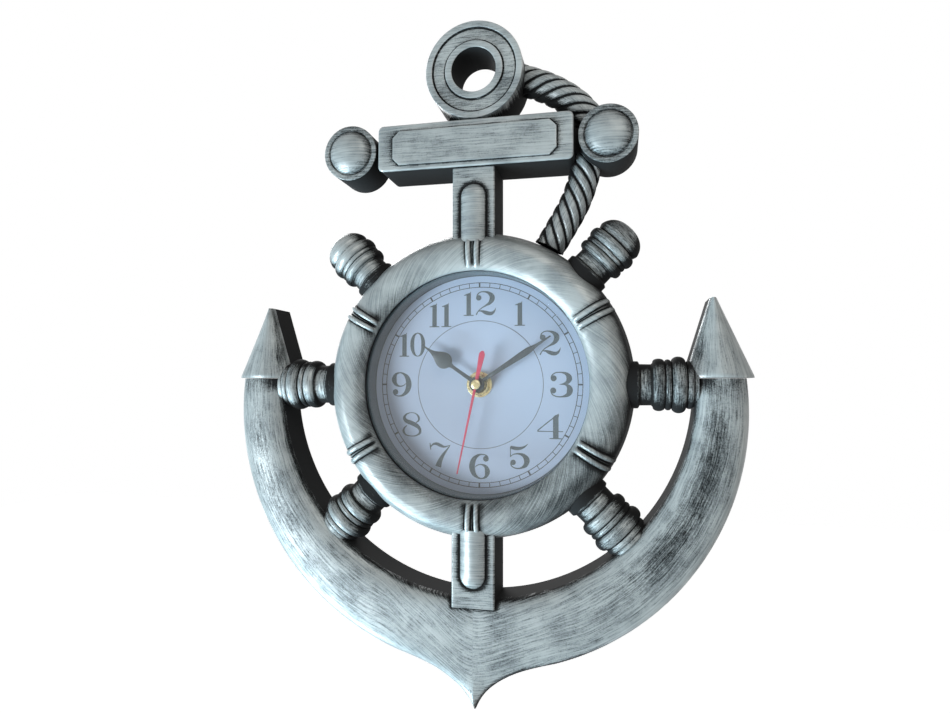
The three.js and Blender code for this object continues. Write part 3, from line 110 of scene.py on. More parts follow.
def walked(grid, axis):
    # mean length walked from the first row (axis 0) or column (axis 1)
    steps = np.linalg.norm(np.diff(grid, axis=axis), axis=2).mean(axis=1 - axis)
    return np.concatenate([[0], np.cumsum(steps)])


def surface(points, rub=1.0, closeRows=False, capEnds=False, turnMap=False):
    # Quads between neighbouring rows and columns of the grid; the columns close round. The map is
    # the length along the rows and the length round the columns, so brush marks keep their size.
    rows, cols = points.shape[:2]
    index = np.arange(rows * cols).reshape(rows, cols)
    if closeRows:
        index = np.vstack([index, index[:1]])
    index = np.hstack([index, index[:, :1]])
    flat = points.reshape(-1, 3)
    looped = flat[index]
    layMap = np.stack(np.meshgrid(walked(looped, 0), walked(looped, 1), indexing="ij"), axis=-1)
    if turnMap:
        layMap = layMap[..., ::-1]
    near, far = slice(None, -1), slice(1, None)
    corners = [(near, near), (near, far), (far, far), (far, near)]
    quads = np.stack([index[c] for c in corners], axis=-1).reshape(-1, 4)
    quadMap = np.stack([layMap[c] for c in corners], axis=-2).reshape(-1, 4, 2)
    coverage = np.broadcast_to(rub, (rows, cols)).astype(float)
    ends = coverage[[0, -1]].mean(axis=1)
    coverage = coverage.reshape(-1)
    if capEnds:
        flat = np.vstack([flat, points[[0, -1]].mean(axis=1)])
        coverage = np.concatenate([coverage, ends])
        for end, order in ((0, [0, 1, 2, 2]), (-1, [0, 2, 1, 1])):
            ring, ringMap = index[end], layMap[end]
            centre = np.full(len(ring) - 1, len(flat) - 2 - end)
            fan = np.stack([centre, ring[1:], ring[:-1]], axis=-1)
            fanMap = np.stack([ringMap[:-1], ringMap[1:], ringMap[:-1]], axis=-2)
            quads = np.vstack([quads, fan[:, order]])
            quadMap = np.vstack([quadMap, fanMap[:, order]])
    if signedVolume(flat, quads) < 0:
        quads = quads[:, ::-1]
        quadMap = quadMap[:, ::-1]
    return {"points": flat, "quads": quads, "map": quadMap, "rub": coverage}


def newObject(name, data):
    thing = bpy.data.objects.new(name, data)
    bpy.context.scene.collection.objects.link(thing)
    return thing


def shadeSmooth(mesh, sharp):
    mesh.polygons.foreach_set("use_smooth", np.ones(len(mesh.polygons), bool))
    mesh.set_sharp_from_angle(angle=math.radians(sharp))


def makePiece(name, parts, material, body="clock", standsFor=()):
    # Joins the surfaces into one mesh, welds seams and poles, and hangs it on its body
    firsts = np.cumsum([0] + [len(part["points"]) for part in parts])
    quads = np.vstack([part["quads"] + first for part, first in zip(parts, firsts)])
    points, maps = (np.vstack([part[key] for part in parts]) * mm for key in ("points", "map"))
    mesh = bpy.data.meshes.new(name)
    mesh.vertices.add(len(points))
    mesh.vertices.foreach_set("co", points.ravel())
    corner = quads != np.roll(quads, 1, axis=1)  # a quad that names a point twice is a triangle
    starts = np.concatenate([[0], np.cumsum(corner.sum(axis=1))[:-1]])
    mesh.loops.add(int(corner.sum()))
    mesh.loops.foreach_set("vertex_index", quads[corner].astype(np.int32))
    mesh.polygons.add(len(quads))
    mesh.polygons.foreach_set("loop_start", starts.astype(np.int32))
    mesh.update(calc_edges=True)
    mesh.uv_layers.new(name="lay").data.foreach_set("uv", maps[corner].reshape(-1))
    rub = np.concatenate([part["rub"] for part in parts]).astype(np.float32)
    mesh.attributes.new("rub", "FLOAT", "POINT").data.foreach_set("value", rub)
    edit = bmesh.new()
    edit.from_mesh(mesh)
    bmesh.ops.remove_doubles(edit, verts=edit.verts, dist=1e-7)
    edit.to_mesh(mesh)
    edit.free()
    shadeSmooth(mesh, 38)
    mesh.materials.append(material)
    piece = newObject(name, mesh)
    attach(piece, body)
    if standsFor:
        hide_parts(*standsFor)
    return piece


def turnedSurface(profile, centre=(0, 0), sides=128, rub=1.0, closed=True):
    # Profile of [radius, depth] turned about an axis square to the wall, from the lowest point on
    profile = np.asarray(profile, float)
    angle = np.linspace(0, 2 * np.pi, sides, endpoint=False) - np.pi / 2
    radius, depth = profile[:, :1], profile[:, 1:2]
    points = at(centre[0] + radius * np.cos(angle), depth, centre[1] + radius * np.sin(angle))
    if np.ndim(rub) == 1:
        rub = rub[:, None]
    return surface(points, rub, closeRows=closed)


def rounded(profile, radius, steps=4):
    # Rounds each inner corner of a profile with a small arc, as a quadratic curve through it
    profile = np.asarray(profile, float)
    out = [profile[:1]]
    t = np.linspace(0, 1, steps + 1)[:, None]
    for before, corner, after in zip(profile[:-2], profile[1:-1], profile[2:]):
        back, ahead = before - corner, after - corner
        cut = min(radius, np.linalg.norm(back) / 2.1, np.linalg.norm(ahead) / 2.1)
        start = corner + back / np.linalg.norm(back) * cut
        end = corner + ahead / np.linalg.norm(ahead) * cut
        out.append((1 - t) ** 2 * start + 2 * t * (1 - t) * corner + t ** 2 * end)
    out.append(profile[-1:])
    return np.vstack(out)


def roundedLoop(profile, radius):
    return rounded([*profile, profile[0]], radius)[:-1]


def flatRing(inner, outer, near, far, radius, sides):
    # Flat ring round the axis of the hands, its edges rounded
    loop = roundedLoop([[inner, near], [outer, near], [outer, far], [inner, far]], radius)
    return turnedSurface(loop, sides=sides)


# Shader groups and materials

def setSocket(tree, socket, value):
    if isinstance(value, bpy.types.NodeSocket):
        tree.links.new(value, socket)
    else:
        socket.default_value = value


def addNode(tree, kind, inputs=None, **settings):
    node = tree.nodes.new(kind)
    for key, value in settings.items():
        setattr(node, key, value)
    for key, value in (inputs or {}).items():
        setSocket(tree, node.inputs[key], value)
    return node


def math2(tree, operation, a, b):
    return addNode(tree, "ShaderNodeMath", {0: a, 1: b}, operation=operation).outputs[0]


def fitRange(tree, value, low, high, toLow=0.0, toHigh=1.0, kind="SMOOTHSTEP"):
    inputs = {"Value": value, "From Min": low, "From Max": high, "To Min": toLow, "To Max": toHigh}
    return addNode(tree, "ShaderNodeMapRange", inputs, interpolation_type=kind).outputs["Result"]


def mixColour(tree, factor, a, b):
    # Sockets by place: the node has a pair A and B for each kind of data, and 6 and 7 are colours
    return addNode(tree, "ShaderNodeMix", {0: factor, 6: a, 7: b}, data_type="RGBA").outputs[2]


def newGroup(name, inputs, outputs):
    # An input without a value is a vector; the others, and all outputs, are numbers
    group = bpy.data.node_groups.new(name, "ShaderNodeTree")
    for label, value in inputs.items():
        kind = "NodeSocketVector" if value is None else "NodeSocketFloat"
        socket = group.interface.new_socket(label, in_out="INPUT", socket_type=kind)
        if value is not None:
            socket.default_value = value
    for label in outputs:
        group.interface.new_socket(label, in_out="OUTPUT", socket_type="NodeSocketFloat")
    return group, group.nodes.new("NodeGroupInput").outputs, group.nodes.new("NodeGroupOutput").inputs


def noise(tree, vector, scale, detail=3.0, roughness=0.55):
    inputs = {"Vector": vector, "Scale": scale, "Detail": detail, "Roughness": roughness}
    return addNode(tree, "ShaderNodeTexNoise", inputs).outputs["Fac"]


# Noise scales and the weight of each kind of mark; hair and broad are in strokes, the rest per metre
brush = {"hair": (1.0, 1.7), "broad": (0.35, 0.8), "patch": (70.0, 0.7), "speck": (1400.0, 0.8),
         "wander": 60.0, "sway": 0.0012, "bare": 0.12, "covered": 0.92}


def dryBrushGroup():
    # Hairlines laid along the map, broad strokes and cloudy patches decide where the silver
    # stays on the black ground. Rub is the share of silver that the form would catch.
    group, given, result = newGroup(
        "dryBrush",
        {"Map": None, "Place": None, "Rub": 1.0, "Stroke Length": 0.012, "Stroke Width": 0.0005,
         "Contrast": 1.0},
        ("Silver", "Height", "Tone"))
    length, width = (math2(group, "DIVIDE", 1.0, given["Stroke " + label]) for label in ("Length", "Width"))
    stretch = addNode(group, "ShaderNodeCombineXYZ", {"X": length, "Y": width}).outputs[0]
    wander = noise(group, given["Place"], brush["wander"], 1.0)
    aside = math2(group, "MULTIPLY", wander, brush["sway"])
    sway = addNode(group, "ShaderNodeCombineXYZ", {"Y": aside}).outputs[0]
    bent = addNode(group, "ShaderNodeVectorMath", {0: given["Map"], 1: sway}, operation="ADD").outputs[0]
    lay = addNode(group, "ShaderNodeVectorMath", {0: bent, 1: stretch}, operation="MULTIPLY").outputs[0]
    kinds = {"hair": noise(group, lay, brush["hair"][0], 3.0, 0.6),
             "broad": noise(group, lay, brush["broad"][0], 2.0),
             "patch": noise(group, given["Place"], brush["patch"][0], 3.0),
             "speck": noise(group, given["Place"], brush["speck"][0], 2.0)}
    hair, broad, patch, speck = (
        math2(group, "MULTIPLY", math2(group, "SUBTRACT", value, 0.5), brush[kind][1])
        for kind, value in kinds.items())
    marks = math2(group, "ADD", math2(group, "ADD", hair, broad), math2(group, "ADD", patch, speck))
    marks = math2(group, "MULTIPLY", marks, given["Contrast"])
    silver = fitRange(group, math2(group, "ADD", given["Rub"], marks), brush["bare"], brush["covered"])
    relief = math2(group, "MULTIPLY", kinds["hair"], 0.4)
    setSocket(group, result["Silver"], silver)
    setSocket(group, result["Height"], math2(group, "ADD", math2(group, "MULTIPLY", silver, 0.6), relief))
    tone = math2(group, "ADD", kinds["patch"], kinds["broad"])
    setSocket(group, result["Tone"], fitRange(group, tone, 0.7, 1.3))
    return group


def mouldGrainGroup():
    # Fine grain of a moulded, printed or plated face, with a slow cloud of wear over it
    group, given, result = newGroup(
        "mouldGrain", {"Place": None, "Grain Size": 0.0006, "Cloud Size": 0.02}, ("Grain", "Cloud"))
    for label, size, detail in (("Grain", "Grain Size", 4.0), ("Cloud", "Cloud Size", 3.0)):
        scale = math2(group, "DIVIDE", 1.0, given[size])
        setSocket(group, result[label], noise(group, given["Place"], scale, detail))
    return group


brushGroup = dryBrushGroup()
grainGroup = mouldGrainGroup()


def newMaterial(name, slotName):
    material = bpy.data.materials.new(name)
    material.use_nodes = True
    material["slotName"] = slotName
    tree = material.node_tree
    return material, tree, tree.nodes["Principled BSDF"]


def objectPlace(tree):
    return addNode(tree, "ShaderNodeTexCoord").outputs["Object"]


def useGroup(tree, group, inputs):
    return addNode(tree, "ShaderNodeGroup", inputs, node_tree=group)


def bumped(tree, height, distance, strength=1.0):
    inputs = {"Height": height, "Distance": distance, "Strength": strength}
    return addNode(tree, "ShaderNodeBump", inputs).outputs["Normal"]


def feed(tree, shader, **values):
    # Socket names are written without their spaces
    for key, value in values.items():
        setSocket(tree, next(s for s in shader.inputs if s.name.replace(" ", "") == key), value)


silverPaint = {"ground": (0.023, 0.0235, 0.024, 1), "thin": (0.26, 0.295, 0.305, 1),
               "full": (0.455, 0.495, 0.495, 1), "rough": (0.75, 0.3), "gloss": (0.05, 0.6), "metal": 0.2}


def antiqueSilver(name, contrast, strokeLength, strokeWidth):
    # Rough and gloss go from the bare ground to the full silver
    material, tree, shader = newMaterial(name, "antique_silver")
    brushed = useGroup(tree, brushGroup, {
        "Map": addNode(tree, "ShaderNodeUVMap", uv_map="lay").outputs["UV"], "Place": objectPlace(tree),
        "Rub": addNode(tree, "ShaderNodeAttribute", attribute_name="rub").outputs["Fac"],
        "Stroke Length": strokeLength, "Stroke Width": strokeWidth, "Contrast": contrast}).outputs
    silver = brushed["Silver"]
    paint = mixColour(tree, brushed["Tone"], silverPaint["thin"], silverPaint["full"])
    feed(tree, shader,
         BaseColor=mixColour(tree, silver, silverPaint["ground"], paint),
         Metallic=math2(tree, "MULTIPLY", silver, silverPaint["metal"]),
         SpecularIORLevel=fitRange(tree, silver, 0, 1, *silverPaint["gloss"], "LINEAR"),
         Roughness=fitRange(tree, silver, 0, 1, *silverPaint["rough"], "LINEAR"),
         Normal=bumped(tree, brushed["Height"], 0.00012, 0.7))
    return material


def grainAndCloud(tree, grain, cloud):
    sizes = {"Place": objectPlace(tree), "Grain Size": grain, "Cloud Size": cloud}
    return useGroup(tree, grainGroup, sizes).outputs[:2]


def grained(name, slotName, darker, lighter, roughLow, roughHigh, grain=0.0006, cloud=0.02,
            bump=0.00004, metallic=0.0, coat=0.0):
    # Plastic, card, rubber, plate and brass share this: a clouded colour and a grained face
    material, tree, shader = newMaterial(name, slotName)
    grainOut, cloudOut = grainAndCloud(tree, grain, cloud)
    mask = fitRange(tree, cloudOut, 0.3, 0.7)
    feed(tree, shader,
         BaseColor=mixColour(tree, mask, (*darker, 1), (*lighter, 1)),
         Roughness=fitRange(tree, cloudOut, 0.25, 0.75, roughLow, roughHigh, "LINEAR"),
         Normal=bumped(tree, grainOut, bump),
         Metallic=metallic, CoatWeight=coat)
    return material


def rayKinds(tree, *kinds):
    # 1 for a ray of any of these kinds, else 0
    path = addNode(tree, "ShaderNodeLightPath").outputs
    seen = path[f"Is {kinds[0]} Ray"]
    for kind in kinds[1:]:
        seen = math2(tree, "MAXIMUM", seen, path[f"Is {kind} Ray"])
    return seen


def clearLens():
    # Clear glass; shadow rays pass straight through, so the dial behind is lit as if bare
    material, tree, shader = newMaterial("clearLens", "lens_glass")
    _, cloudOut = grainAndCloud(tree, 0.004, 0.03)
    feed(tree, shader, BaseColor=(0.985, 0.99, 0.995, 1), TransmissionWeight=1.0, IOR=1.45,
         Roughness=fitRange(tree, cloudOut, 0.3, 0.8, 0.0, 0.02, "LINEAR"))
    through = addNode(tree, "ShaderNodeBsdfTransparent")
    passing = rayKinds(tree, "Shadow", "Diffuse")
    both = addNode(tree, "ShaderNodeMixShader", {0: passing, 1: shader.outputs[0], 2: through.outputs[0]})
    output = next(n for n in tree.nodes if n.type == "OUTPUT_MATERIAL")
    tree.links.new(both.outputs[0], output.inputs["Surface"])
    return material


silver = antiqueSilver("antiqueSilver", 0.9, 0.007, 0.00028)
silverFine = antiqueSilver("antiqueSilverFine", 0.9, 0.004, 0.00028)
silverSoft = antiqueSilver("antiqueSilverSoft", 0.44, 0.011, 0.00024)
greyPlastic = grained("greyPlastic", "grey_plastic", (0.085, 0.12, 0.14), (0.10, 0.14, 0.16), 0.5, 0.6,
                      0.002, bump=0.000002)
dialCard = grained("dialCard", "dial_card", (0.475, 0.575, 0.735), (0.50, 0.60, 0.76), 0.45, 0.55,
                   0.0003, 0.03, 0.00001)
dialInk = grained("dialInk", "dial_card", (0.060, 0.086, 0.098), (0.082, 0.112, 0.125), 0.5, 0.62,
                  0.0004, 0.006, 0.00001)
dialLine = grained("dialLine", "dial_card", (0.035, 0.048, 0.06), (0.05, 0.064, 0.078), 0.5, 0.62,
                   0.0004, 0.006, 0.00001)
handPaint = grained("handPaint", "hand_paint", (0.034, 0.05, 0.056), (0.048, 0.066, 0.072), 0.38, 0.5,
                    0.0003, 0.01, 0.00001)
redPaint = grained("redPaint", "red_paint", (0.55, 0.045, 0.095), (0.62, 0.06, 0.12), 0.35, 0.45,
                   0.0003, 0.01, 0.00001)
goldBrass = grained("goldBrass", "brass", (0.50, 0.43, 0.23), (0.62, 0.55, 0.33), 0.2, 0.34,
                    0.0004, 0.004, 0.00001, metallic=1.0)
zincPlate = grained("zincPlate", "plated_steel", (0.42, 0.43, 0.44), (0.55, 0.56, 0.57), 0.28, 0.46,
                    0.0005, 0.006, 0.00002, metallic=1.0)
blackMould = grained("blackMould", "black_plastic", (0.014, 0.015, 0.016), (0.024, 0.025, 0.027), 0.5, 0.68,
                     0.0005, 0.015, 0.00006)
whiteMould = grained("whiteMould", "white_plastic", (0.68, 0.66, 0.60), (0.78, 0.76, 0.70), 0.4, 0.5)
rubberBlack = grained("rubberBlack", "gasket_rubber", (0.012, 0.012, 0.012), (0.022, 0.022, 0.022), 0.75, 0.9)
boardGreen = grained("boardGreen", "board", (0.02, 0.12, 0.05), (0.03, 0.17, 0.07), 0.4, 0.55)
coilCopper = grained("coilCopper", "coil_copper", (0.30, 0.08, 0.03), (0.42, 0.13, 0.055), 0.25, 0.4,
                     0.0002, 0.003, 0.00005, metallic=0.6)
cellJacket = grained("cellJacket", "battery_jacket", (0.035, 0.04, 0.05), (0.055, 0.06, 0.07), 0.22, 0.34,
                     0.0006, 0.02, 0.00001, coat=0.5)
print("materials made")


# Wheel rim: an arch turned round the axis, with six ties across it

rim = {"outer": 76, "draft": 1.5, "crest": 66.5, "lip": 56.2, "waistDepth": 27, "crestDepth": 39.5,
       "lipDepth": 36.2, "lipBack": 34.1, "seat": 59.5, "ties": range(30, 390, 60), "stations": 1440}
tie = {"spread": 1.82, "fan": 0.03, "out": 1.0, "half": 1.42, "rib": 0.2, "ribHalf": 0.3, "grooveHalf": 0.3,
       "outerGroove": 0.35, "innerGroove": 0.6}
# Paint by degrees round the rim and across the arch, 0 at the waist and 180 at the lip; the crest, outer and inner
# shares are painted shade
rimPaint = {"markTurn": 32, "full": 0.93, "crestThin": 0.1, "crestAt": 75, "crestSpan": 40,
            "wornThin": 0.46, "wornAt": 314, "wornSpan": 42, "outerThin": 0.45, "outerSwing": 0.4,
            "outerFade": (62, 15), "innerThin": 0.42, "innerFade": (95, 140), "brightAt": 45,
            "brightFade": (50, 95), "ridge": 0.3, "outerGroove": 0.6, "innerGroove": 1.1, "scrape": 0.3,
            "scrapeAt": 4.4, "lipThin": 0.2}


def rimArch(lift, across):
    # Ellipse quarter from the waist up to the crest, then a flatter one down to the lip;
    # across runs from 0 at the waist to 180 degrees at the lip
    turn = np.radians(across)
    span = np.where(across <= 90, rim["outer"] - rim["crest"], rim["crest"] - rim["lip"])
    base = np.where(across <= 90, rim["waistDepth"], rim["lipDepth"])
    rise = rim["crestDepth"] - base
    normalR, normalD = np.cos(turn) / span, np.sin(turn) / rise
    size = np.hypot(normalR, normalD)
    radius = rim["crest"] + span * np.cos(turn) + lift * normalR / size
    depth = base + rise * np.sin(turn) + lift * normalD / size
    return radius, depth


def fromAngle(angle, middle):
    # degrees from the middle, -180 to 180
    return (angle - middle + 180) % 360 - 180


def rimRub(angle, across, offset, gap, tied):
    # Painted shade: the crest is darkened all round and most low on the right, a painted dark reflection; the
    # outer slope is darkened, most on the right; the inside is darkened away from the upper right, on the side
    # away from the light
    paint = rimPaint
    fromCrestShade, fromBright = fromAngle(angle, paint["wornAt"]), np.abs(fromAngle(angle, paint["brightAt"]))
    crestThin = paint["crestThin"] + paint["wornThin"] * softBump(fromCrestShade, paint["wornSpan"])
    outerThin = paint["outerThin"] + paint["outerSwing"] * np.cos(np.radians(angle))
    innerThin = paint["innerThin"] * smoothStep(*paint["brightFade"], fromBright)
    # Painted shade and painted dark reflection, set by the angle round the rim
    rub = paint["full"] - crestThin * softBump(across - paint["crestAt"], paint["crestSpan"])
    rub = rub - outerThin * smoothStep(*paint["outerFade"], across)
    rub = rub - innerThin * smoothStep(*paint["innerFade"], across)
    marks = paint["ridge"] * roundBump(gap, 1.3) - paint["outerGroove"] * softBump(gap - 1.6, 0.35)
    rub = rub + tied * (marks - paint["innerGroove"] * softBump(gap + 1.6, 0.36))
    scrape = softBump(np.abs(offset) - paint["scrapeAt"], 1.5)
    scrape = scrape * smoothStep(165, 140, across) * smoothStep(5, 40, across)
    return rub - paint["scrape"] * scrape - paint["lipThin"] * softBump(across - 180, 4)


def wheelRim():
    # Ties: at each, two round ridges that draw together towards the lip, with a thin rib
    # between them and a groove on both sides of each ridge. The seam lies under a tie.
    angle = rim["ties"][0] + np.linspace(0, 360, rim["stations"], endpoint=False)[:, None]
    across = np.linspace(0, 180, 73)[None, :]
    bare, _ = rimArch(0.0, across)
    offset = np.full(np.broadcast_shapes(angle.shape, across.shape), 1e3)
    for middle in rim["ties"]:
        away = np.radians(fromAngle(angle, middle)) * bare
        offset = np.where(np.abs(away) < np.abs(offset), away, offset)
    gap = np.abs(offset) - (tie["spread"] + tie["fan"] * (bare - rim["lip"]))
    tied = smoothStep(158, 128, across)
    ridges = tie["out"] * roundBump(gap, tie["half"] * (0.55 + 0.45 * smoothStep(160, 95, across)))
    rib = tie["rib"] * roundBump(offset, tie["ribHalf"])
    grooves = tie["outerGroove"] * softBump(gap - 1.6, tie["grooveHalf"])
    grooves = grooves + tie["innerGroove"] * softBump(gap + 1.5, tie["grooveHalf"])
    radius, depth = rimArch((ridges + rib - grooves) * tied, across)
    foot, wall, back = rim["outer"] + rim["draft"], anchor["wall"], anchor["back"]
    side = np.array([[foot, back], [rim["outer"] + 0.9, 18], [rim["outer"] + 0.3, 24]])
    inner = np.array([
        [rim["lip"], rim["lipBack"]], [rim["seat"], rim["lipBack"]], [rim["crest"], rim["crestDepth"] - wall],
        [rim["outer"] - wall, rim["waistDepth"]], [foot - wall, back]])
    radius = columns(rim["stations"], side[:, 0], radius, inner[:, 0])
    depth = columns(rim["stations"], side[:, 1], depth, inner[:, 1])
    rub = rimRub(angle, across, offset, gap, tied)
    rub = columns(rim["stations"], [-0.7, -0.6, -0.35], rub, [-0.7] * len(inner))
    turn = np.radians(angle)
    part = surface(at(radius * np.cos(turn), depth, radius * np.sin(turn)), rub, closeRows=True)
    lean = math.radians(rimPaint["markTurn"])
    cos, sin = math.cos(lean), math.sin(lean)
    part["map"] = part["map"] @ np.array([[cos, -sin], [sin, cos]])
    makePiece("wheelRim", [part], silverSoft, standsFor=["wheel_rim"])


# Spokes: a turning carried out along its own axis, as stations (distance from the wheel's axis,
# radius) and beads (middle, half length, radius at the top)

spoke = {"depth": 25, "sides": 160, "root": [(72.81, 11.3), (78.2, 11.3), (78.6, 10.9), (79.1, 9.9)],
         "arm": [(84.4, 9.8), (85.2, 10.6), (103.2, 10.4), (105.4, 10.2)],
         "armBeads": [(87.9, 2.75, 12.5), (92.1, 1.5, 12.1), (96.9, 3.25, 13.4), (101.8, 1.4, 11.4)],
         "handle": [(83.8, 9.8), (84.4, 10.6), (96.6, 10.8), (97.4, 11.2)],
         "handleBeads": [(86.7, 2.1, 12.3), (90.1, 1.25, 11.9), (93.9, 2.7, 12.9)],
         "ballLength": 9.5, "ballRadius": 12.0}
# Angle of each spoke and the silver kept on it; the lower levels on the right-hand spokes are painted shade
spokes = {"right": (0, 0.5), "left": (180, 0.72), "lower_right": (315, 0.64), "lower_left": (225, 0.72),
          "upper_right": (45, 0.62), "upper_left": (135, 0.94)}


def turning(stations, beads):
    # Radius along the axis: straight runs between the stations, and half ellipses for beads
    length = np.linspace(stations[0][0], stations[-1][0], 340)
    radius = np.interp(length, *zip(*stations))
    for centre, half, top in beads:
        swell = (top - radius) * roundBump(length - centre, half) ** 0.8
        radius = np.where(np.abs(length - centre) < half, radius + np.maximum(swell, 0), radius)
    return length, radius


def handleTurning():
    # A free handle ends in a ball that swells from the last station and closes at the tip
    length, radius = turning(spoke["root"] + spoke["handle"], spoke["handleBeads"])
    end, neck = spoke["handle"][-1]
    dome = arc(0, 90, 40)
    ballLength = end + spoke["ballLength"] * np.sin(dome)
    swell = np.interp(ballLength, [end, end + 1.8], [neck, spoke["ballRadius"]])
    ballRadius = swell * np.cos(dome) ** 0.78
    return (np.concatenate([length, ballLength[1:], ballLength[-1:] + 0.02]),
            np.concatenate([radius, ballRadius[1:], [0.0]]))


def runningMean(values, half):
    return np.convolve(np.pad(values, half, mode="edge"), np.ones(2 * half + 1) / (2 * half + 1), "valid")


def spokePiece(name, node, degrees, length, radius, silverAndShade):
    # The silver catches the front of the beads; valleys and the sides stay black
    turn = np.linspace(0, 2 * np.pi, spoke["sides"], endpoint=False) + np.pi
    distance, reach = length[:, None], radius[:, None]
    across, out = reach * np.sin(turn), spoke["depth"] + reach * np.cos(turn)
    valley = np.clip(runningMean(radius, 9) - radius, 0, 2)[:, None]
    # The level given for each spoke holds painted shade on the right-hand spokes
    rub = silverAndShade - 1.6 + 1.6 * smoothStep(0.1, 0.95, np.cos(turn)) - 2.0 * valley
    rub = rub - 0.8 * (1 - smoothStep(0, 2.5, distance - distance[0] - 4.0))
    angle = math.radians(degrees)
    x = distance * math.cos(angle) - across * math.sin(angle)
    z = distance * math.sin(angle) + across * math.cos(angle)
    part = surface(at(x, out, z), rub, capEnds=True, turnMap=True)
    makePiece(name, [part], silverFine, standsFor=[node])


def addSpokes():
    armShape = turning(spoke["root"] + spoke["arm"], spoke["armBeads"])
    for name, (degrees, silverAndShade) in spokes.items():
        kind, shape = ("handle", handleTurning()) if name.startswith("upper") else ("turning", armShape)
        spokePiece(f"spoke_{name}_{kind}", "spoke_" + name, degrees, *shape, silverAndShade)


# Anchor arms: a section carried from the top of one arm round the crown to the other

arm = {"inner": 104.5, "outer": 127.3, "outerZ": -11.2, "topZ": 3.0, "draft": 0.7, "wallDepth": 29.5,
       "crestDepth": 36.0, "hollowDepth": 26.0, "crownHalf": 40, "crownPull": (24, -136.5),
       "crownFlow": (8, -140), "tipZ": -158.5, "tipDepth": 21, "rib": 16, "domePower": 2.4, "tipPower": 2.4}
# Silver on the arms: the full share and what each painted shadow takes off it; hollow is the painted shade along
# the right arm's middle
armPaint = {"full": 0.77, "hollow": 0.4, "innerEdge": 0.6, "shank": 0.8, "shankHalf": 10.9, "tip": 0.9,
            "fluke": 0.25, "flukeInside": 0.6}
# Marks on the crown: slope, height of the bow, half width of its bend, and where they fade out
crownMarks = {"slope": 0.19, "bow": 3.54, "bend": 6, "fade": (56, 34)}


def armEdges():
    # Outer edge: a cubic curve from the tip to the arm, then an arc; the inner edge is an arc
    radius, centre = arm["outer"], np.array([0, arm["outerZ"]])
    crownAngle = math.asin(arm["crownHalf"] / radius) - math.pi / 2
    joinZ = arm["outerZ"] + radius * math.sin(crownAngle)
    t = np.linspace(0, 1, 70)[:, None]
    p0, p1 = np.array([0, arm["tipZ"]]), np.array(arm["crownFlow"])
    p2, p3 = np.array(arm["crownPull"]), np.array([arm["crownHalf"], joinZ])
    point = (1 - t) ** 3 * p0 + 3 * t * (1 - t) ** 2 * p1 + 3 * t ** 2 * (1 - t) * p2 + t ** 3 * p3
    bearing = np.arctan2(point[:, 1], point[:, 0])
    outerTurn = np.linspace(crownAngle, math.asin((arm["topZ"] - arm["outerZ"]) / radius), 190)[1:]
    innerTurn = np.linspace(bearing[-1], math.asin(arm["topZ"] / arm["inner"]), 190)[1:]
    outer = np.vstack([point, centre + onCircle(outerTurn, radius)])
    inner = onCircle(np.concatenate([bearing, innerTurn]), arm["inner"])
    return [np.vstack([edge[:0:-1] * [-1, 1], edge]) for edge in (inner, outer)]


def armRub(share, outer, front):
    # Painted shade and shadow: darker along the right arm's middle, on the right beside the tip, along the inner
    # edge, round the shank's foot and under the flukes; brighter along the edges, where dry-brushed silver
    # catches, with a painted highlight
    right, z = outer[:, :1] > 0, outer[:, 1:]
    # Painted shade: the right arm is darker along its middle
    thin = softBump(share - 0.45, 0.22)[None] * right * smoothStep(-132, -80, z) * smoothStep(2, -30, z)
    edge = softBump(share - 0.93, 0.05)[None] * 0.25 + softBump(share - 0.1, 0.06)[None] * 0.1
    fromShank = np.clip(np.abs(front[..., 0]) - armPaint["shankHalf"], 0, None)
    shankFootShade = softBump(fromShank, 1.6) * smoothStep(-111, -107, front[..., 1])
    tipShade = softBump(share - 1, 0.08)[None] * right * smoothStep(-112, -132, z)
    inside = armPaint["flukeInside"] * smoothStep(0.55, 0.1, share)
    # Painted shadow under the flukes, strongest towards the inner edge
    flukeShadow = smoothStep(-9, 2, z) * (armPaint["fluke"] + inside)[None]
    rub = armPaint["full"] + edge - armPaint["hollow"] * thin
    rub = rub - armPaint["innerEdge"] * softBump(share, 0.035)[None]
    return rub - armPaint["shank"] * shankFootShade - armPaint["tip"] * tipShade - flukeShadow


def crownMap(part):
    # Marks on the crown run straight, each half with its own slope, and meet at the middle
    corner = part["points"][part["quads"]]
    x, z = corner[..., 0], corner[..., 2]
    bow = crownMarks["bow"] * np.log(2 * np.cosh(x / crownMarks["bend"]))
    flow = -(z + crownMarks["slope"] * x - bow)
    natural = part["map"][..., 1]
    for half in (-1, 1):
        join = (np.abs(x * half - 44) < 4) & (corner[..., 1] < -30)
        flow = np.where(x * half > 0, flow + (natural[join] - flow[join]).mean(), flow)
    part["map"][..., 1] = natural + (flow - natural) * smoothStep(*crownMarks["fade"], np.abs(x))


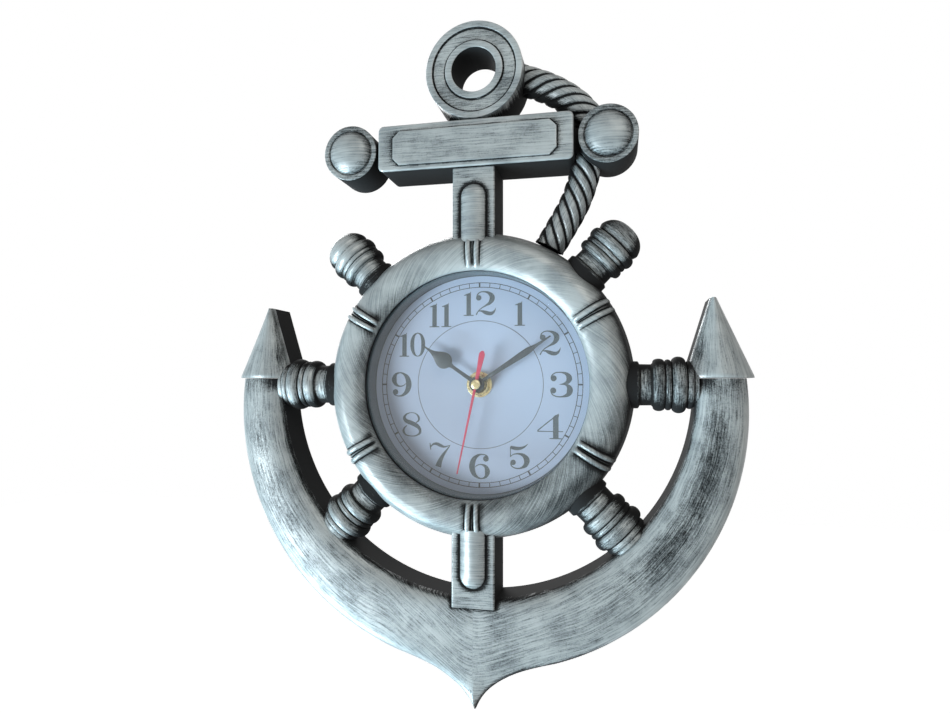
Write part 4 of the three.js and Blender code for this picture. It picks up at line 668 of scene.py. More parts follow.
def anchorArms():
    # Front: depth rises as a superellipse dome between the two side walls
    inner, outer = armEdges()
    count, back, wall = len(inner), anchor["back"], anchor["wall"]
    share = easedShares(61)
    outerDepth = blend(arm["wallDepth"], arm["tipDepth"], softBump(outer[:, :1], 8))
    base = blend(arm["wallDepth"], outerDepth, share)
    power = arm["domePower"] + arm["tipPower"] * softBump(outer[:, :1], arm["crownHalf"])
    depth = base + (arm["crestDepth"] - base) * superDome(share, power)
    front = inner[:, None] + (outer - inner)[:, None] * share[None, :, None]
    away = (outer - inner) / np.linalg.norm(outer - inner, axis=1, keepdims=True)
    wallShare = np.array([0, 0.5, 0.9])
    innerWall = np.repeat(inner[:, None], 3, axis=1)
    outerWall = outer[:, None] + away[:, None] * arm["draft"] * wallShare[None, :, None]
    outerWallDepth = outerDepth + (back - outerDepth) * wallShare[None]
    # The hollow is closed by ribs at the crown and at both ends
    fromEnd = np.minimum(np.arange(count), count - 1 - np.arange(count))
    opened = smoothStep(arm["rib"] - 1, arm["rib"], np.abs(outer[:, 0])) * smoothStep(3, 4, fromEnd)
    hollow = (back + (arm["hollowDepth"] - back) * opened)[:, None]
    lipOuter, lipInner = outer + away * (arm["draft"] - wall), inner + away * wall
    foot = np.stack([outer + away * arm["draft"], lipOuter, lipOuter, lipInner, lipInner], axis=1)
    xz = np.concatenate([innerWall, front, outerWall[:, 1:], foot], axis=1)
    innerDepth = back + (arm["wallDepth"] - back) * wallShare
    depths = columns(count, innerDepth, depth, outerWallDepth[:, 1:], [back] * 2, hollow, hollow, back)
    rub = columns(count, [-0.7] * 3, armRub(share, outer, front), [-0.1] * 2, -0.4, [-0.7] * 4)
    part = surface(at(xz[..., 0], depths, xz[..., 1]), rub, capEnds=True)
    crownMap(part)
    makePiece("anchorArms", [part], silver, standsFor=["anchor_arms"])


# Flukes: a domed triangle, drawn in to a blunt point

fluke = {"innerX": 99.5, "outerX": 130.5, "apexX": 112.6, "apexZ": 40.5, "apexHalf": 1.5, "baseZ": 3.3,
         "wallDepth": 28.5, "crestDepth": 37.0, "apexDepth": 32.0, "domePower": 1.75}


def addFlukes():
    rise = np.concatenate([[0, 0.012, 0.03], np.linspace(0.06, 1, 60)])[:, None]
    share = easedShares(49)
    inner = blend(fluke["innerX"], fluke["apexX"] - fluke["apexHalf"], rise)
    outer = blend(fluke["outerX"], fluke["apexX"] + fluke["apexHalf"], rise)
    crest = blend(fluke["crestDepth"], fluke["apexDepth"], rise) - fluke["wallDepth"]
    edge = 0.5 * (1 - smoothStep(0, 0.03, rise))
    depth = fluke["wallDepth"] + (crest - edge) * superDome(share, fluke["domePower"])
    z = blend(fluke["baseZ"], fluke["apexZ"], rise)
    x = blend(inner + edge * 0.4, outer - edge * 0.4, share)
    wallDepth = [anchor["back"], fluke["wallDepth"] - 1]
    wallX = columns(len(rise), inner, inner, x, outer, outer)
    wallD = columns(len(rise), wallDepth, depth, wallDepth[::-1])
    rub = 0.84 + 0.2 * softBump(share - 0.9, 0.07)[None] + 0.35 * softBump(rise, 0.02)
    rub = rub - 0.35 * softBump(share - 0.1, 0.12)[None] * smoothStep(0, 0.3, rise)
    rub = columns(len(rise), [-0.6] * 2, rub, -0.1, -0.4)
    for side, name in ((1, "right"), (-1, "left")):
        grid = at(side * wallX, wallD, z)
        makePiece(name + "Fluke", [surface(grid, rub, capEnds=True)], silver, standsFor=[name + "_fluke"])


# Shanks: bevelled bars with a round relief, hollow behind

shank = {"half": 10.7, "depth": 36.5, "bevel": 0.9, "capsuleHalf": 6.4, "capsuleOut": 3.0, "groove": 0.35,
         "upper": (70.2, 107.4, 99.2), "lower": (-70.2, -107.8, -98.5)}


def addShank(name, node, rimZ, endZ, reliefZ):
    # Relief: half an ellipse across, over the distance to a straight centre line
    z = np.linspace(rimZ, endZ, 190)[:, None]
    half, bevel, capsule = shank["half"], shank["bevel"], shank["capsuleHalf"]
    x = np.linspace(-half + bevel, half - bevel, 83)[None, :]
    side = math.copysign(1, endZ)
    past = np.clip(side * (z - (reliefZ - side * capsule)), 0, None)
    away = np.hypot(x, past)
    relief = shank["capsuleOut"] * np.clip(1 - (away / capsule) ** 2, 0, 1) ** 0.7
    depth = shank["depth"] + relief - shank["groove"] * softBump(away - capsule - 0.25, 0.4)
    turn = arc(0, 90, 6)[1:-1]
    cornerX, cornerD = half - bevel + bevel * np.cos(turn), shank["depth"] - bevel + bevel * np.sin(turn)
    back, wall = anchor["back"], anchor["wall"]
    opened = smoothStep(wall - 0.4, wall, np.abs(z - endZ))
    hollow = back + (shank["depth"] - wall - back) * opened
    wallTop = shank["depth"] - bevel
    xs = columns(len(z), [-half] * 2, -cornerX, x, cornerX[::-1],
                 [half] * 2, [half - wall] * 2, [wall - half] * 2)
    ds = columns(len(z), [back, wallTop], cornerD, depth, cornerD[::-1],
                 [wallTop, back, back], hollow, hollow, back)
    # Dark round the relief, bright along the bevels
    scribble = softBump(away - capsule - 0.5, 1.5) * (away > capsule - 0.2)
    dark = 0.72 * scribble + 0.5 * softBump(away - capsule, 0.5)
    rub = 0.84 + 0.25 * smoothStep(capsule, 1, away) - dark + 0.12 * softBump(np.abs(x) - half + bevel, 0.6)
    rub = columns(len(z), [-0.6] * 2, [0.7] * 4, rub, [0.7] * 4, [-0.6] * 6)
    makePiece(name, [surface(at(xs, ds, z), rub, capEnds=True, turnMap=True)], silver, standsFor=[node])


# Stock: a bar with rounded corners and a raised plaque with cut corners

stock = {"box": (-49.3, 49.3, 107.7, 131.2), "plaque": (-41.4, 41.4, 110.1, 127.6), "corner": 3.2, "cut": 3.4,
         "depth": 38.6, "plaqueOut": 1.1, "bevel": 0.9}


def corneredRing(box, corner, cutShare, perCorner=9, perSide=26):
    # Rectangle whose corners go from round (cutShare 0) to cut straight (1)
    x0, x1, z0, z1 = box
    turn = arc(0, 90, perCorner)
    straight = np.linspace(0, 1, perCorner)
    roundX, roundZ = np.cos(turn), np.sin(turn)
    cornerX = blend(roundX, 1 - straight, cutShare)
    cornerZ = blend(roundZ, straight, cutShare)
    cx0, cx1, cz0, cz1 = x0 + corner, x1 - corner, z0 + corner, z1 - corner
    pieces = [np.stack([cx1 + corner * cornerX, cz1 + corner * cornerZ], 1),
              np.stack([cx0 - corner * cornerZ, cz1 + corner * cornerX], 1),
              np.stack([cx0 - corner * cornerX, cz0 - corner * cornerZ], 1),
              np.stack([cx1 + corner * cornerZ, cz0 - corner * cornerX], 1)]
    out = []
    for here, after in zip(pieces, pieces[1:] + pieces[:1]):
        t = np.linspace(0, 1, perSide)[1:-1, None]
        out += [here, blend(here[-1], after[0], t)]
    return np.vstack(out)


def insetBox(box, inset):
    x0, x1, z0, z1 = box
    return (x0 + inset, x1 - inset, z0 + inset, z1 - inset)


def addStock():
    # Rings from the hollow's ceiling out over the back edge, up the wall and in to the plaque
    box, plaque, corner, cut = stock["box"], stock["plaque"], stock["corner"], stock["cut"]
    back, wall, front, bevel = anchor["back"], anchor["wall"], stock["depth"], stock["bevel"]
    rows = []

    def ring(shape, depth, rub, radius=corner, cutShare=0.0):
        radius = max(min(radius, (shape[3] - shape[2]) / 2 - 0.001), 0.001)
        rows.append((corneredRing(shape, radius, cutShare), depth, rub))

    middleZ = (box[2] + box[3]) / 2
    inside = insetBox(box, wall)
    ceiling, top = front - wall, front + stock["plaqueOut"]
    ring((inside[0] + 9, inside[1] - 9, middleZ - 0.002, middleZ + 0.002), ceiling, -0.6)
    for shape, depth in ((insetBox(inside, 4), ceiling), (inside, ceiling), (inside, back)):
        ring(shape, depth, -0.6, 1)
    for depth, rub in ((back, -0.6), (front - 5, -0.6), (front - bevel, -0.1)):
        ring(box, depth, rub)
    for turn in arc(15, 90, 6):
        edge = insetBox(box, bevel * (1 - math.cos(turn)))
        ring(edge, front - bevel + bevel * math.sin(turn), 1.05, corner - bevel / 2)
    start = insetBox(box, bevel)
    for share, rub in ((0.15, 0.95), (0.45, 0.84), (0.7, 0.66), (0.88, 0.4), (0.97, 0.15)):
        shape = tuple(blend(a, b, share) for a, b in zip(start, plaque))
        ring(shape, front, rub, blend(corner - bevel, cut, share), share)
    middle = (plaque[3] - plaque[2]) / 2 - 0.002
    for inset, depth, rub, radius in (
            (0, front - 0.2, -0.2, cut), (0.12, top - 0.3, 0.55, cut), (0.22, top - 0.08, 1.1, cut),
            (0.5, top, 1.15, cut), (1.2, top, 0.9, cut - 0.4), (4.5, top, 0.82, 2),
            (middle, top, 0.85, 0.001)):
        ring(insetBox(plaque, inset), depth, rub, radius, 1)
    xz = np.stack([row[0] for row in rows])
    depth, rub = (np.array([row[i] for row in rows])[:, None] for i in (1, 2))
    part = surface(at(xz[..., 0], depth, xz[..., 1]), rub)
    flatMap(part)
    makePiece("stock", [part], silver, standsFor=["stock"])


def flatMap(part):
    # Brush marks run level: the map is x along and the way up or back across
    corner = part["points"][part["quads"]]
    part["map"] = np.stack([corner[..., 0], corner[..., 2] + corner[..., 1]], axis=-1)


def patched(rub, *patches):
    # Each patch is a mask and the value inside it; later ones lie over earlier ones
    for mask, value in patches:
        rub = np.where(mask, value, rub)
    return rub


# Knobs at the ends of the stock, each with a neck into the bar

knob = {"x": 65.5, "z": 119.6, "radius": 14.2, "depth": 36.2, "dome": 10.9, "domeOut": 4.2, "waist": 24,
        "neckX": 45.5, "neckHalf": 6, "neckNear": 16.0, "neckFar": 30}


def addKnobs():
    back, wall, front, domeRadius = anchor["back"], anchor["wall"], knob["depth"], knob["dome"]
    inner = knob["radius"] - wall
    walls = rounded([
        [0, front - wall], [inner, front - wall], [inner, back], [knob["radius"], back],
        [knob["radius"], knob["waist"]], [knob["radius"], front], [domeRadius + 0.9, front],
        [domeRadius + 0.3, front - 0.9], [domeRadius, front - 0.6]], 0.5)
    dome = arc(0, 90, 26)
    crown = np.stack([domeRadius * np.cos(dome), front - 0.6 + (knob["domeOut"] + 0.3) * np.sin(dome)], 1)
    profile = np.vstack([walls, crown[1:]])
    radius, depth = profile.T
    crownRub = 1.02 - 0.45 * smoothStep(0.6, 1, radius / domeRadius)
    rub = patched(
        -0.75 + 0.7 * smoothStep(22, 36, depth),
        (depth > front - 0.45, 0.62),
        (np.abs(radius - domeRadius - 0.3) < 0.6, 0.42),
        ((radius < domeRadius - 0.35) & (depth > front - 0.5), crownRub),
        ((radius < inner + 0.1) & (depth < front - 2), -0.7))
    neckDepth = [knob["neckNear"], knob["neckFar"], knob["neckFar"], knob["neckNear"]]
    neckZ = knob["z"] + knob["neckHalf"] * np.array([-1, -1, 1, 1])
    neckX = np.array([[knob["neckX"]], [knob["x"] - inner]])
    for side, name in ((1, "right"), (-1, "left")):
        body = turnedSurface(profile, (side * knob["x"], knob["z"]), 144, rub, closed=False)
        neck = surface(at(neckX * side, neckDepth, neckZ), -0.6, capEnds=True)
        levelMap(makePiece(name + "Knob", [body, neck], silver, standsFor=[name + "_knob"]))


def levelMap(piece):
    # Marks on a turned face run level as well: x along, z across
    mesh = piece.data
    corner = np.zeros(len(mesh.loops), np.int32)
    mesh.loops.foreach_get("vertex_index", corner)
    points = np.zeros(len(mesh.vertices) * 3)
    mesh.vertices.foreach_get("co", points)
    points = points.reshape(-1, 3)[corner]
    mesh.uv_layers["lay"].data.foreach_set("uv", points[:, ::2].ravel())


# Top eye: a stepped ring on a web that stands on the stock

eye = {"z": 156.8, "radius": 24.6, "rimInner": 21.4, "collar": 14.7, "hole": 11.3, "depth": 37.2,
       "recess": 0.9, "groove": 0.5, "waist": 24, "webHalf": 17, "webTopHalf": 12, "webDepth": 29.2,
       "webZ": 131.5, "webHeight": 9, "webBevel": 0.8, "sides": 168}


def addEye():
    back, wall, front, waist = anchor["back"], anchor["wall"], eye["depth"], eye["waist"]
    outer, hole, rimInner, collar = eye["radius"], eye["hole"], eye["rimInner"], eye["collar"]
    band = front - eye["recess"]
    groove = band - eye["groove"]
    profile = roundedLoop([
        [hole + wall, back], [hole, back], [hole, waist], [hole, front], [collar, front],
        [collar + 0.15, groove], [collar + 0.8, band], [18, band + 0.1], [rimInner - 0.8, band],
        [rimInner - 0.15, groove], [rimInner, front], [outer, front], [outer, waist], [outer, back],
        [outer - wall, back], [outer - wall, band - wall], [hole + wall, band - wall]], 0.45)
    radius, depth = profile.T
    inGroove = (np.abs(radius - collar - 0.35) < 0.4) | (np.abs(radius - rimInner + 0.35) < 0.4)
    between = (radius > hole + 0.1) & (radius < outer - 0.1)
    rub = patched(
        np.where(depth > front - 0.5, 0.9, 0.66),
        (inGroove, 0.1),
        ((depth < front - 0.3) & (radius < hole + 0.1), -0.9),
        ((depth < front - 0.6) & (radius > outer - 0.1), -0.3),
        ((depth < band - 1.5) & between, -0.7))
    ring = turnedSurface(profile, (0, eye["z"]), eye["sides"], rub)
    level = np.linspace(0, 1, 12)[:, None]
    half, bevel = blend(eye["webHalf"], eye["webTopHalf"], level), eye["webBevel"]
    xs = np.hstack([-half, -half, -half + bevel, half - bevel, half, half])
    rise = [back, eye["webDepth"] - bevel, eye["webDepth"]]
    web = surface(at(xs, rise + rise[::-1], eye["webZ"] + level * eye["webHeight"]), -0.4, capEnds=True)
    levelMap(makePiece("topEye", [ring, web], silverFine, standsFor=["top_eye"]))


# Rope: six strands laid round each other, each with finer yarn lines

rope = {"radius": 7.7, "depth": 21.5, "pitch": 40.0, "strands": 6, "groove": 1.35, "yarn": 0.14, "sides": 180,
        "stations": 300, "upper": ((20, 157), (37, 149.5), (50, 140), (60, 127)),
        "lower": ((55, 114), (53.3, 104), (48.8, 91), (41, 77), (33, 64))}


def smoothRoute(points, count):
    # Catmull-Rom curve through the points, then stations spaced evenly along it
    p = np.asarray(points, float)
    p = np.vstack([2 * p[0] - p[1], p, 2 * p[-1] - p[-2]])
    t = np.linspace(0, 1, 60, endpoint=False)[:, None]
    runs = [0.5 * (2 * b + (c - a) * t + (2 * a - 5 * b + 4 * c - d) * t ** 2
                   + (3 * b - a - 3 * c + d) * t ** 3)
            for a, b, c, d in zip(p[:-3], p[1:-2], p[2:-1], p[3:])]
    line = np.vstack(runs + [p[-2:-1]])
    length = np.concatenate([[0], np.cumsum(np.linalg.norm(np.diff(line, axis=0), axis=1))])
    even = np.linspace(0, length[-1], count)
    return np.stack([np.interp(even, length, line[:, i]) for i in range(line.shape[1])], 1), even


def pushedOut(x, z, centre, radius):
    # Points inside a circle move straight out to it
    dx, dz = x - centre[0], z - centre[1]
    push = np.maximum(radius / np.maximum(np.hypot(dx, dz), 1e-6), 1)
    return centre[0] + dx * push, centre[1] + dz * push


def heldAt(x, z, radius):
    # Each line along the rope stops where it meets the wheel, a circle round the axis
    inside = np.hypot(x, z) < radius
    entry = np.where(inside.any(axis=0), inside.argmax(axis=0), len(x))
    station = np.minimum(np.arange(len(x))[:, None], np.maximum(entry - 1, 0)[None, :])
    return np.take_along_axis(x, station, 0), np.take_along_axis(z, station, 0)


def addRope(name, node, route):
    # Radius: round strands that turn with the length, and fine lines along each strand
    line, length = smoothRoute(route, rope["stations"])
    along = np.gradient(line, axis=0)
    along /= np.linalg.norm(along, axis=1, keepdims=True)
    across = np.stack([along[:, 1], -along[:, 0]], 1)
    turn = np.linspace(0, 2 * np.pi, rope["sides"], endpoint=False)[None, :] + np.pi
    phase = turn + 2 * np.pi * length[:, None] / rope["pitch"]
    strand = np.abs(np.cos(rope["strands"] / 2 * phase))
    yarn = 0.5 + 0.5 * np.cos(5 * rope["strands"] * phase)
    yarnCut = rope["yarn"] * (1 - yarn) * smoothStep(0.1, 0.5, strand)
    radius = rope["radius"] - rope["groove"] * (1 - strand) ** 1.7 - yarnCut
    sideways, out = radius * np.sin(turn), rope["depth"] + radius * np.cos(turn)
    x = line[:, :1] + across[:, :1] * sideways
    z = line[:, 1:] + across[:, 1:] * sideways
    x, z = pushedOut(x, z, (knob["x"], knob["z"]), knob["radius"] + 0.05)
    x, z = pushedOut(x, z, (0, eye["z"]), eye["radius"] + 0.05)
    x, z = heldAt(x, z, rim["outer"] + rim["draft"])
    # Silver on the front of each strand, where the brush reaches; the lean towards one side of the rope is painted
    # shade
    facingAndShade = smoothStep(0.0, 0.85, np.cos(turn) - 0.3 * np.sin(turn))
    rub = -0.6 + 1.65 * facingAndShade * smoothStep(0.12, 0.6, strand) * (0.82 + 0.18 * yarn)
    makePiece(name, [surface(at(x, out, z), rub, capEnds=True)], silverFine, standsFor=[node])


wheelRim()
addSpokes()
anchorArms()
addFlukes()
addShank("upperShank", "upper_shank", *shank["upper"])
addShank("lowerShank", "lower_shank", *shank["lower"])
addStock()
addKnobs()
addEye()
addRope("upperRope", "upper_rope", rope["upper"])
addRope("lowerRope", "lower_rope", rope["lower"])
print("anchor and wheel made")


# Housing, lens and dial

housing = {"outer": 58.2, "inner": 55.8, "reveal": 55.2, "front": 32.0, "floor": 20.3, "floorBack": 18.5,
           "back": 0, "step": 8, "flangeNear": 10.2, "flangeFar": 12.2, "flange": 76.5, "bore": 4.3,
           "screwRing": 66.5, "screwAngles": (60, 120, 240, 300)}
lens = {"radius": 58.9, "near": 32.3, "far": 33.8}


def addHousing():
    inner, outer, flange, bore = (housing[key] for key in ("inner", "outer", "flange", "bore"))
    near, far, front = housing["flangeNear"], housing["flangeFar"], housing["front"]
    floor, floorBack, back = housing["floor"], housing["floorBack"], housing["back"]
    profile = roundedLoop([
        [inner, housing["step"]], [inner, back], [outer, back], [outer, near], [flange, near], [flange, far],
        [outer, far], [outer, front], [inner, front], [housing["reveal"], floor], [bore, floor],
        [bore, floorBack], [inner, floorBack]], 0.4)
    makePiece("housing", [turnedSurface(profile, sides=216)], greyPlastic, standsFor=["clock_housing"])
    profile = rounded([[0, lens["near"]], [lens["radius"], lens["near"]], [lens["radius"], lens["far"]],
                       [0, lens["far"]]], 0.3)
    makePiece("lensDisc", [turnedSurface(profile, sides=216, closed=False)], clearLens(), standsFor=["lens"])


dial = {"radius": 54.9, "front": 21.0, "thickness": 0.6, "bore": 4.3, "track": (51.5, 49.2), "inner": 32.2,
        "lineHalf": 0.17, "innerHalf": 0.13, "tickHalf": 0.16, "hourTickHalf": 0.4, "inkOut": 0.05,
        "capHeight": 12.4, "numeralRadius": 41.0}


def inkStroke(xz, half, lift=0.0):
    # Flat ribbon along a line, with its own half width at each point, as a thin closed plate
    along = np.gradient(xz, axis=0)
    along /= np.maximum(np.linalg.norm(along, axis=1, keepdims=True), 1e-9)
    side = np.stack([-along[:, 1], along[:, 0]], 1) * np.broadcast_to(half, len(xz))[:, None]
    left, right = xz + side, xz - side
    card, front = dial["front"], dial["front"] + dial["inkOut"] + lift
    ring = np.stack([left, right, right, left], axis=1)
    return surface(at(ring[..., 0], [front, front, card, card], ring[..., 1]), capEnds=True)


def compass(degrees):
    # Unit vector clockwise from the top of the dial
    turn = math.radians(degrees)
    return np.array([math.sin(turn), math.cos(turn)])


def addDial():
    card = flatRing(dial["bore"], dial["radius"], dial["front"] - dial["thickness"], dial["front"], 0.1, 216)
    makePiece("dialCardDisc", [card], dialCard, standsFor=["dial"])
    circle = onCircle(np.linspace(0, 2 * np.pi, 241))
    lines = [inkStroke(radius * circle, dial["lineHalf"]) for radius in dial["track"]]
    lines.append(inkStroke(dial["inner"] * circle, dial["innerHalf"]))
    for minute in range(60):
        half = dial["tickHalf"] if minute % 5 else dial["hourTickHalf"]
        ends = np.linspace(dial["track"][1], dial["track"][0], 3)[:, None] * compass(6 * minute)
        lines.append(inkStroke(ends, half, 0.01))
    makePiece("dialTrack", lines, dialLine)


# Numerals as strokes (x, y, half width) in thousandths of their own height; a ball is (x, y, radius)
numerals = {
    "0": {"width": 620, "strokes": [
        [(310, 985, 16), (170, 900, 45), (90, 700, 75), (75, 500, 82), (90, 300, 75), (170, 100, 45),
         (310, 15, 16), (450, 100, 45), (530, 300, 75), (545, 500, 82), (530, 700, 75), (450, 900, 45),
         (310, 985, 16)]]},
    "1": {"width": 420, "strokes": [
        [(215, 0, 94), (215, 450, 92), (215, 900, 92)],
        [(300, 1000, 4), (285, 930, 22), (200, 885, 42), (20, 845, 12)],
        [(0, 18, 18), (210, 22, 22), (420, 18, 18)]]},
    "2": {"width": 830, "strokes": [
        [(35, 740, 18), (75, 870, 22), (190, 960, 22), (360, 975, 26), (530, 925, 55), (665, 800, 98),
         (675, 660, 105), (580, 510, 68), (410, 405, 32), (220, 290, 20), (90, 160, 20), (20, 30, 26)],
        [(100, 185, 8), (250, 185, 38), (400, 125, 75), (570, 80, 78), (700, 105, 60), (790, 200, 30),
         (835, 320, 4)]],
        "balls": [(125, 730, 112)]},
    "3": {"width": 910, "strokes": [
        [(55, 770, 20), (100, 880, 22), (250, 975, 20), (480, 980, 26), (680, 910, 70), (770, 760, 112),
         (710, 610, 80), (550, 530, 34), (380, 510, 8)],
        [(450, 505, 10), (630, 500, 35), (760, 400, 90), (790, 260, 118), (720, 110, 85), (520, 30, 34),
         (300, 25, 22), (110, 100, 22), (35, 240, 20)]],
        "balls": [(155, 750, 118), (135, 265, 118)]},
    "4": {"width": 1040, "strokes": [
        [(740, 0, 108), (740, 450, 108), (740, 880, 108)],
        [(860, 1000, 4), (800, 905, 70), (700, 840, 70), (620, 815, 12)],
        [(845, 985, 20), (420, 655, 22), (15, 325, 22)],
        [(10, 300, 20), (500, 300, 16), (1030, 300, 16)],
        [(490, 18, 18), (740, 22, 22), (980, 18, 18)]]},
    "5": {"width": 810, "strokes": [
        [(20, 865, 50), (120, 835, 68), (280, 810, 68), (440, 825, 55), (600, 890, 34), (730, 1000, 6)],
        [(25, 880, 20), (22, 650, 18), (25, 470, 22)],
        [(20, 475, 12), (150, 575, 20), (360, 600, 34), (560, 530, 75), (680, 360, 112), (630, 160, 85),
         (450, 40, 36), (250, 22, 22), (80, 100, 22), (22, 220, 20)]],
        "balls": [(130, 255, 108)]},
    "6": {"width": 880, "strokes": [
        [(805, 830, 20), (750, 930, 22), (580, 985, 22), (380, 940, 50), (200, 760, 98), (135, 500, 118),
         (200, 230, 95), (350, 70, 46), (530, 18, 24), (700, 90, 55), (770, 290, 105), (710, 480, 70),
         (550, 575, 30), (380, 555, 20), (250, 460, 12)]],
        "balls": [(710, 815, 115)]},
    "7": {"width": 880, "strokes": [
        [(20, 960, 16), (35, 820, 24), (55, 680, 14)],
        [(40, 775, 12), (140, 900, 36), (300, 930, 58), (480, 860, 62), (640, 815, 36), (880, 885, 8)],
        [(875, 885, 12), (740, 700, 34), (580, 480, 62), (460, 260, 92), (400, 100, 112), (370, 0, 128)]]},
    "8": {"width": 820, "strokes": [
        [(600, 575, 18), (700, 660, 34), (710, 790, 42), (600, 930, 24), (400, 983, 14), (190, 920, 30),
         (90, 780, 58), (170, 645, 80), (400, 555, 88), (620, 450, 85), (755, 310, 60), (755, 150, 46),
         (600, 40, 26), (380, 18, 18), (160, 70, 28), (60, 210, 46), (90, 340, 36), (200, 450, 16)]]},
}


def halfTurned(glyph):
    # The nine is the six turned upside down
    width = glyph["width"]
    return {"width": width,
            "strokes": [[(width - x, 1000 - y, half) for x, y, half in stroke] for stroke in glyph["strokes"]],
            "balls": [(width - x, 1000 - y, radius) for x, y, radius in glyph["balls"]]}


numerals["9"] = halfTurned(numerals["6"])


def numeralStrokes(text, centre):
    # Each digit's strokes run on a smooth curve; plates are stacked a little, so none coincide
    space = 60 if "0" in text else 90
    glyphs = [numerals[digit] for digit in text]
    left = -(sum(glyph["width"] for glyph in glyphs) + space * (len(text) - 1)) / 2
    size, parts = dial["capHeight"] / 1000, []
    turn = np.linspace(0, np.pi, 25)
    for glyph in glyphs:
        for order, stroke in enumerate(glyph["strokes"]):
            line, _ = smoothRoute(stroke, 12 * len(stroke))
            xz = (line[:, :2] + [left, -500]) * size + centre
            parts.append(inkStroke(xz, np.maximum(line[:, 2], 3) * size, 0.004 * order))
        for x, y, radius in glyph.get("balls", ()):
            across = np.stack([left + x - radius * np.cos(turn), np.full(25, y - 500)], 1) * size + centre
            parts.append(inkStroke(across, np.maximum(radius * np.sin(turn), 2) * size, 0.016))
        left += glyph["width"] + space
    return parts


def addNumerals():
    parts = []
    for hour in range(1, 13):
        parts += numeralStrokes(str(hour), dial["numeralRadius"] * compass(30 * hour))
    makePiece("dialNumerals", parts, dialInk)


addHousing()
addDial()
addNumerals()
print("housing, lens and dial made")


# Hands, turned to the time shown

hands = {"thickness": 0.45, "crownEdge": 0.13, "crownSide": 0.03}
# Stations along a hand are (distance from the axis, half width)
hourHand = {"depth": 25.8, "angle": 304.8, "bore": 2.7, "hub": 3.75, "stations": [
    (2.5, 1.05), (10, 0.9), (15.5, 0.85), (17.0, 1.15), (17.7, 2.4), (18.7, 3.45), (20.1, 4.1), (21.4, 4.2),
    (22.8, 3.95), (24.4, 3.2), (26.2, 2.1), (28.2, 1.15), (30.4, 0.62), (32.4, 0.4), (34.7, 0.25)]}
minuteHand = {"depth": 27.8, "angle": 57.2, "bore": 1.75, "hub": 3.75, "stations": [
    (2.5, 0.85), (8, 0.92), (18, 1.22), (27, 1.6), (30, 1.66), (31.5, 1.55), (33.5, 1.1), (35.5, 0.75),
    (39, 0.55), (43.8, 0.3)]}
secondHand = {"depth": 29.8, "angle": 192, "bore": 1.1, "hub": 2.3, "stations": [
    (-17.1, 0.05), (-16.9, 0.75), (-16.3, 1.25), (-15.4, 1.5), (-14.4, 1.48), (-8, 1.1), (0, 0.72), (20, 0.5),
    (45.4, 0.33)]}
handCap = {"stem": 0.95, "near": 29.4, "shoulder": 30.35, "rim": 2.45, "dome": 2.5, "domeNear": 30.75,
           "domeOut": 0.9}


def handPiece(name, node, body, hand, material):
    # Blade: a shallow crowned section carried out along the hand; hub: a turned ring
    stations = np.asarray(hand["stations"], float)
    line = np.linspace(stations[0, 0], stations[-1, 0], 260)
    half = np.interp(line, stations[:, 0], stations[:, 1])
    smooth = runningMean(half, 4)
    half = np.minimum(half, smooth) if stations[0, 0] < 0 else smooth
    near, far = hand["depth"], hand["depth"] + hands["thickness"]
    edge, side = far - hands["crownEdge"], far - hands["crownSide"]
    across = np.array([-1, -0.92, 0, 0.92, 1, 1, -1])[None, :] * half[:, None]
    out = line[:, None]
    turn = math.radians(hand["angle"])
    x = across * math.cos(turn) + out * math.sin(turn)
    z = -across * math.sin(turn) + out * math.cos(turn)
    blade = surface(at(x, [edge, side, far, side, edge, near, near], z), capEnds=True)
    hub = flatRing(hand["bore"], hand["hub"], near, far, 0.1, 96)
    makePiece(name, [blade, hub], material, body, [node])


def addHands():
    handPiece("hourBlade", "hour_hand", "hour_arbor", hourHand, handPaint)
    handPiece("minuteBlade", "minute_hand", "minute_arbor", minuteHand, handPaint)
    handPiece("secondBlade", "second_hand", "second_arbor", secondHand, redPaint)
    dome = arc(0, 90, 14)
    domeDepth = handCap["domeNear"] + handCap["domeOut"] * np.sin(dome)
    head = np.stack([handCap["dome"] * np.cos(dome) ** 0.6, domeDepth], 1)
    stem = [[0, handCap["near"]], [handCap["stem"], handCap["near"]], [handCap["stem"], handCap["shoulder"]],
            [handCap["rim"], handCap["shoulder"]]]
    cap = turnedSurface(np.vstack([stem, head]), sides=96, closed=False)
    makePiece("capRivet", [cap], goldBrass, "second_arbor", ["hand_cap"])


# Nut and washer that clamp the dial

nut = {"corner": 5.8, "near": 21.7, "far": 24.2, "bore": 4.3}
washer = {"outer": 6.5, "near": 21.1, "far": 21.6}


def addNut():
    # Hexagon radius by angle, cut back to a cone at the front corners
    turn = np.linspace(0, 2 * np.pi, 180, endpoint=False)[None, :]
    flat = nut["corner"] * math.cos(math.pi / 6)
    hexagon = flat / np.cos((turn + np.pi / 6) % (np.pi / 3) - np.pi / 6)
    bore = np.full_like(turn, nut["bore"])
    near, far = nut["near"], nut["far"]
    radius, depth = zip(
        (bore, near), (hexagon, near), (hexagon, far - 0.55), (np.minimum(hexagon, flat + 0.35), far - 0.2),
        (np.minimum(hexagon, flat + 0.12), far), (bore, far), (bore, far - 0.6))
    radius, depth = np.vstack(radius), np.array(depth)[:, None]
    grid = at(radius * np.cos(turn), depth, radius * np.sin(turn))
    makePiece("hexNut", [surface(grid, closeRows=True)], goldBrass, standsFor=["centre_nut"])
    ring = flatRing(nut["bore"], washer["outer"], washer["near"], washer["far"], 0.12, 120)
    makePiece("flatWasher", [ring], goldBrass, standsFor=["dial_washer"])


addHands()
addNut()
print("hands made")


# Back of the clock

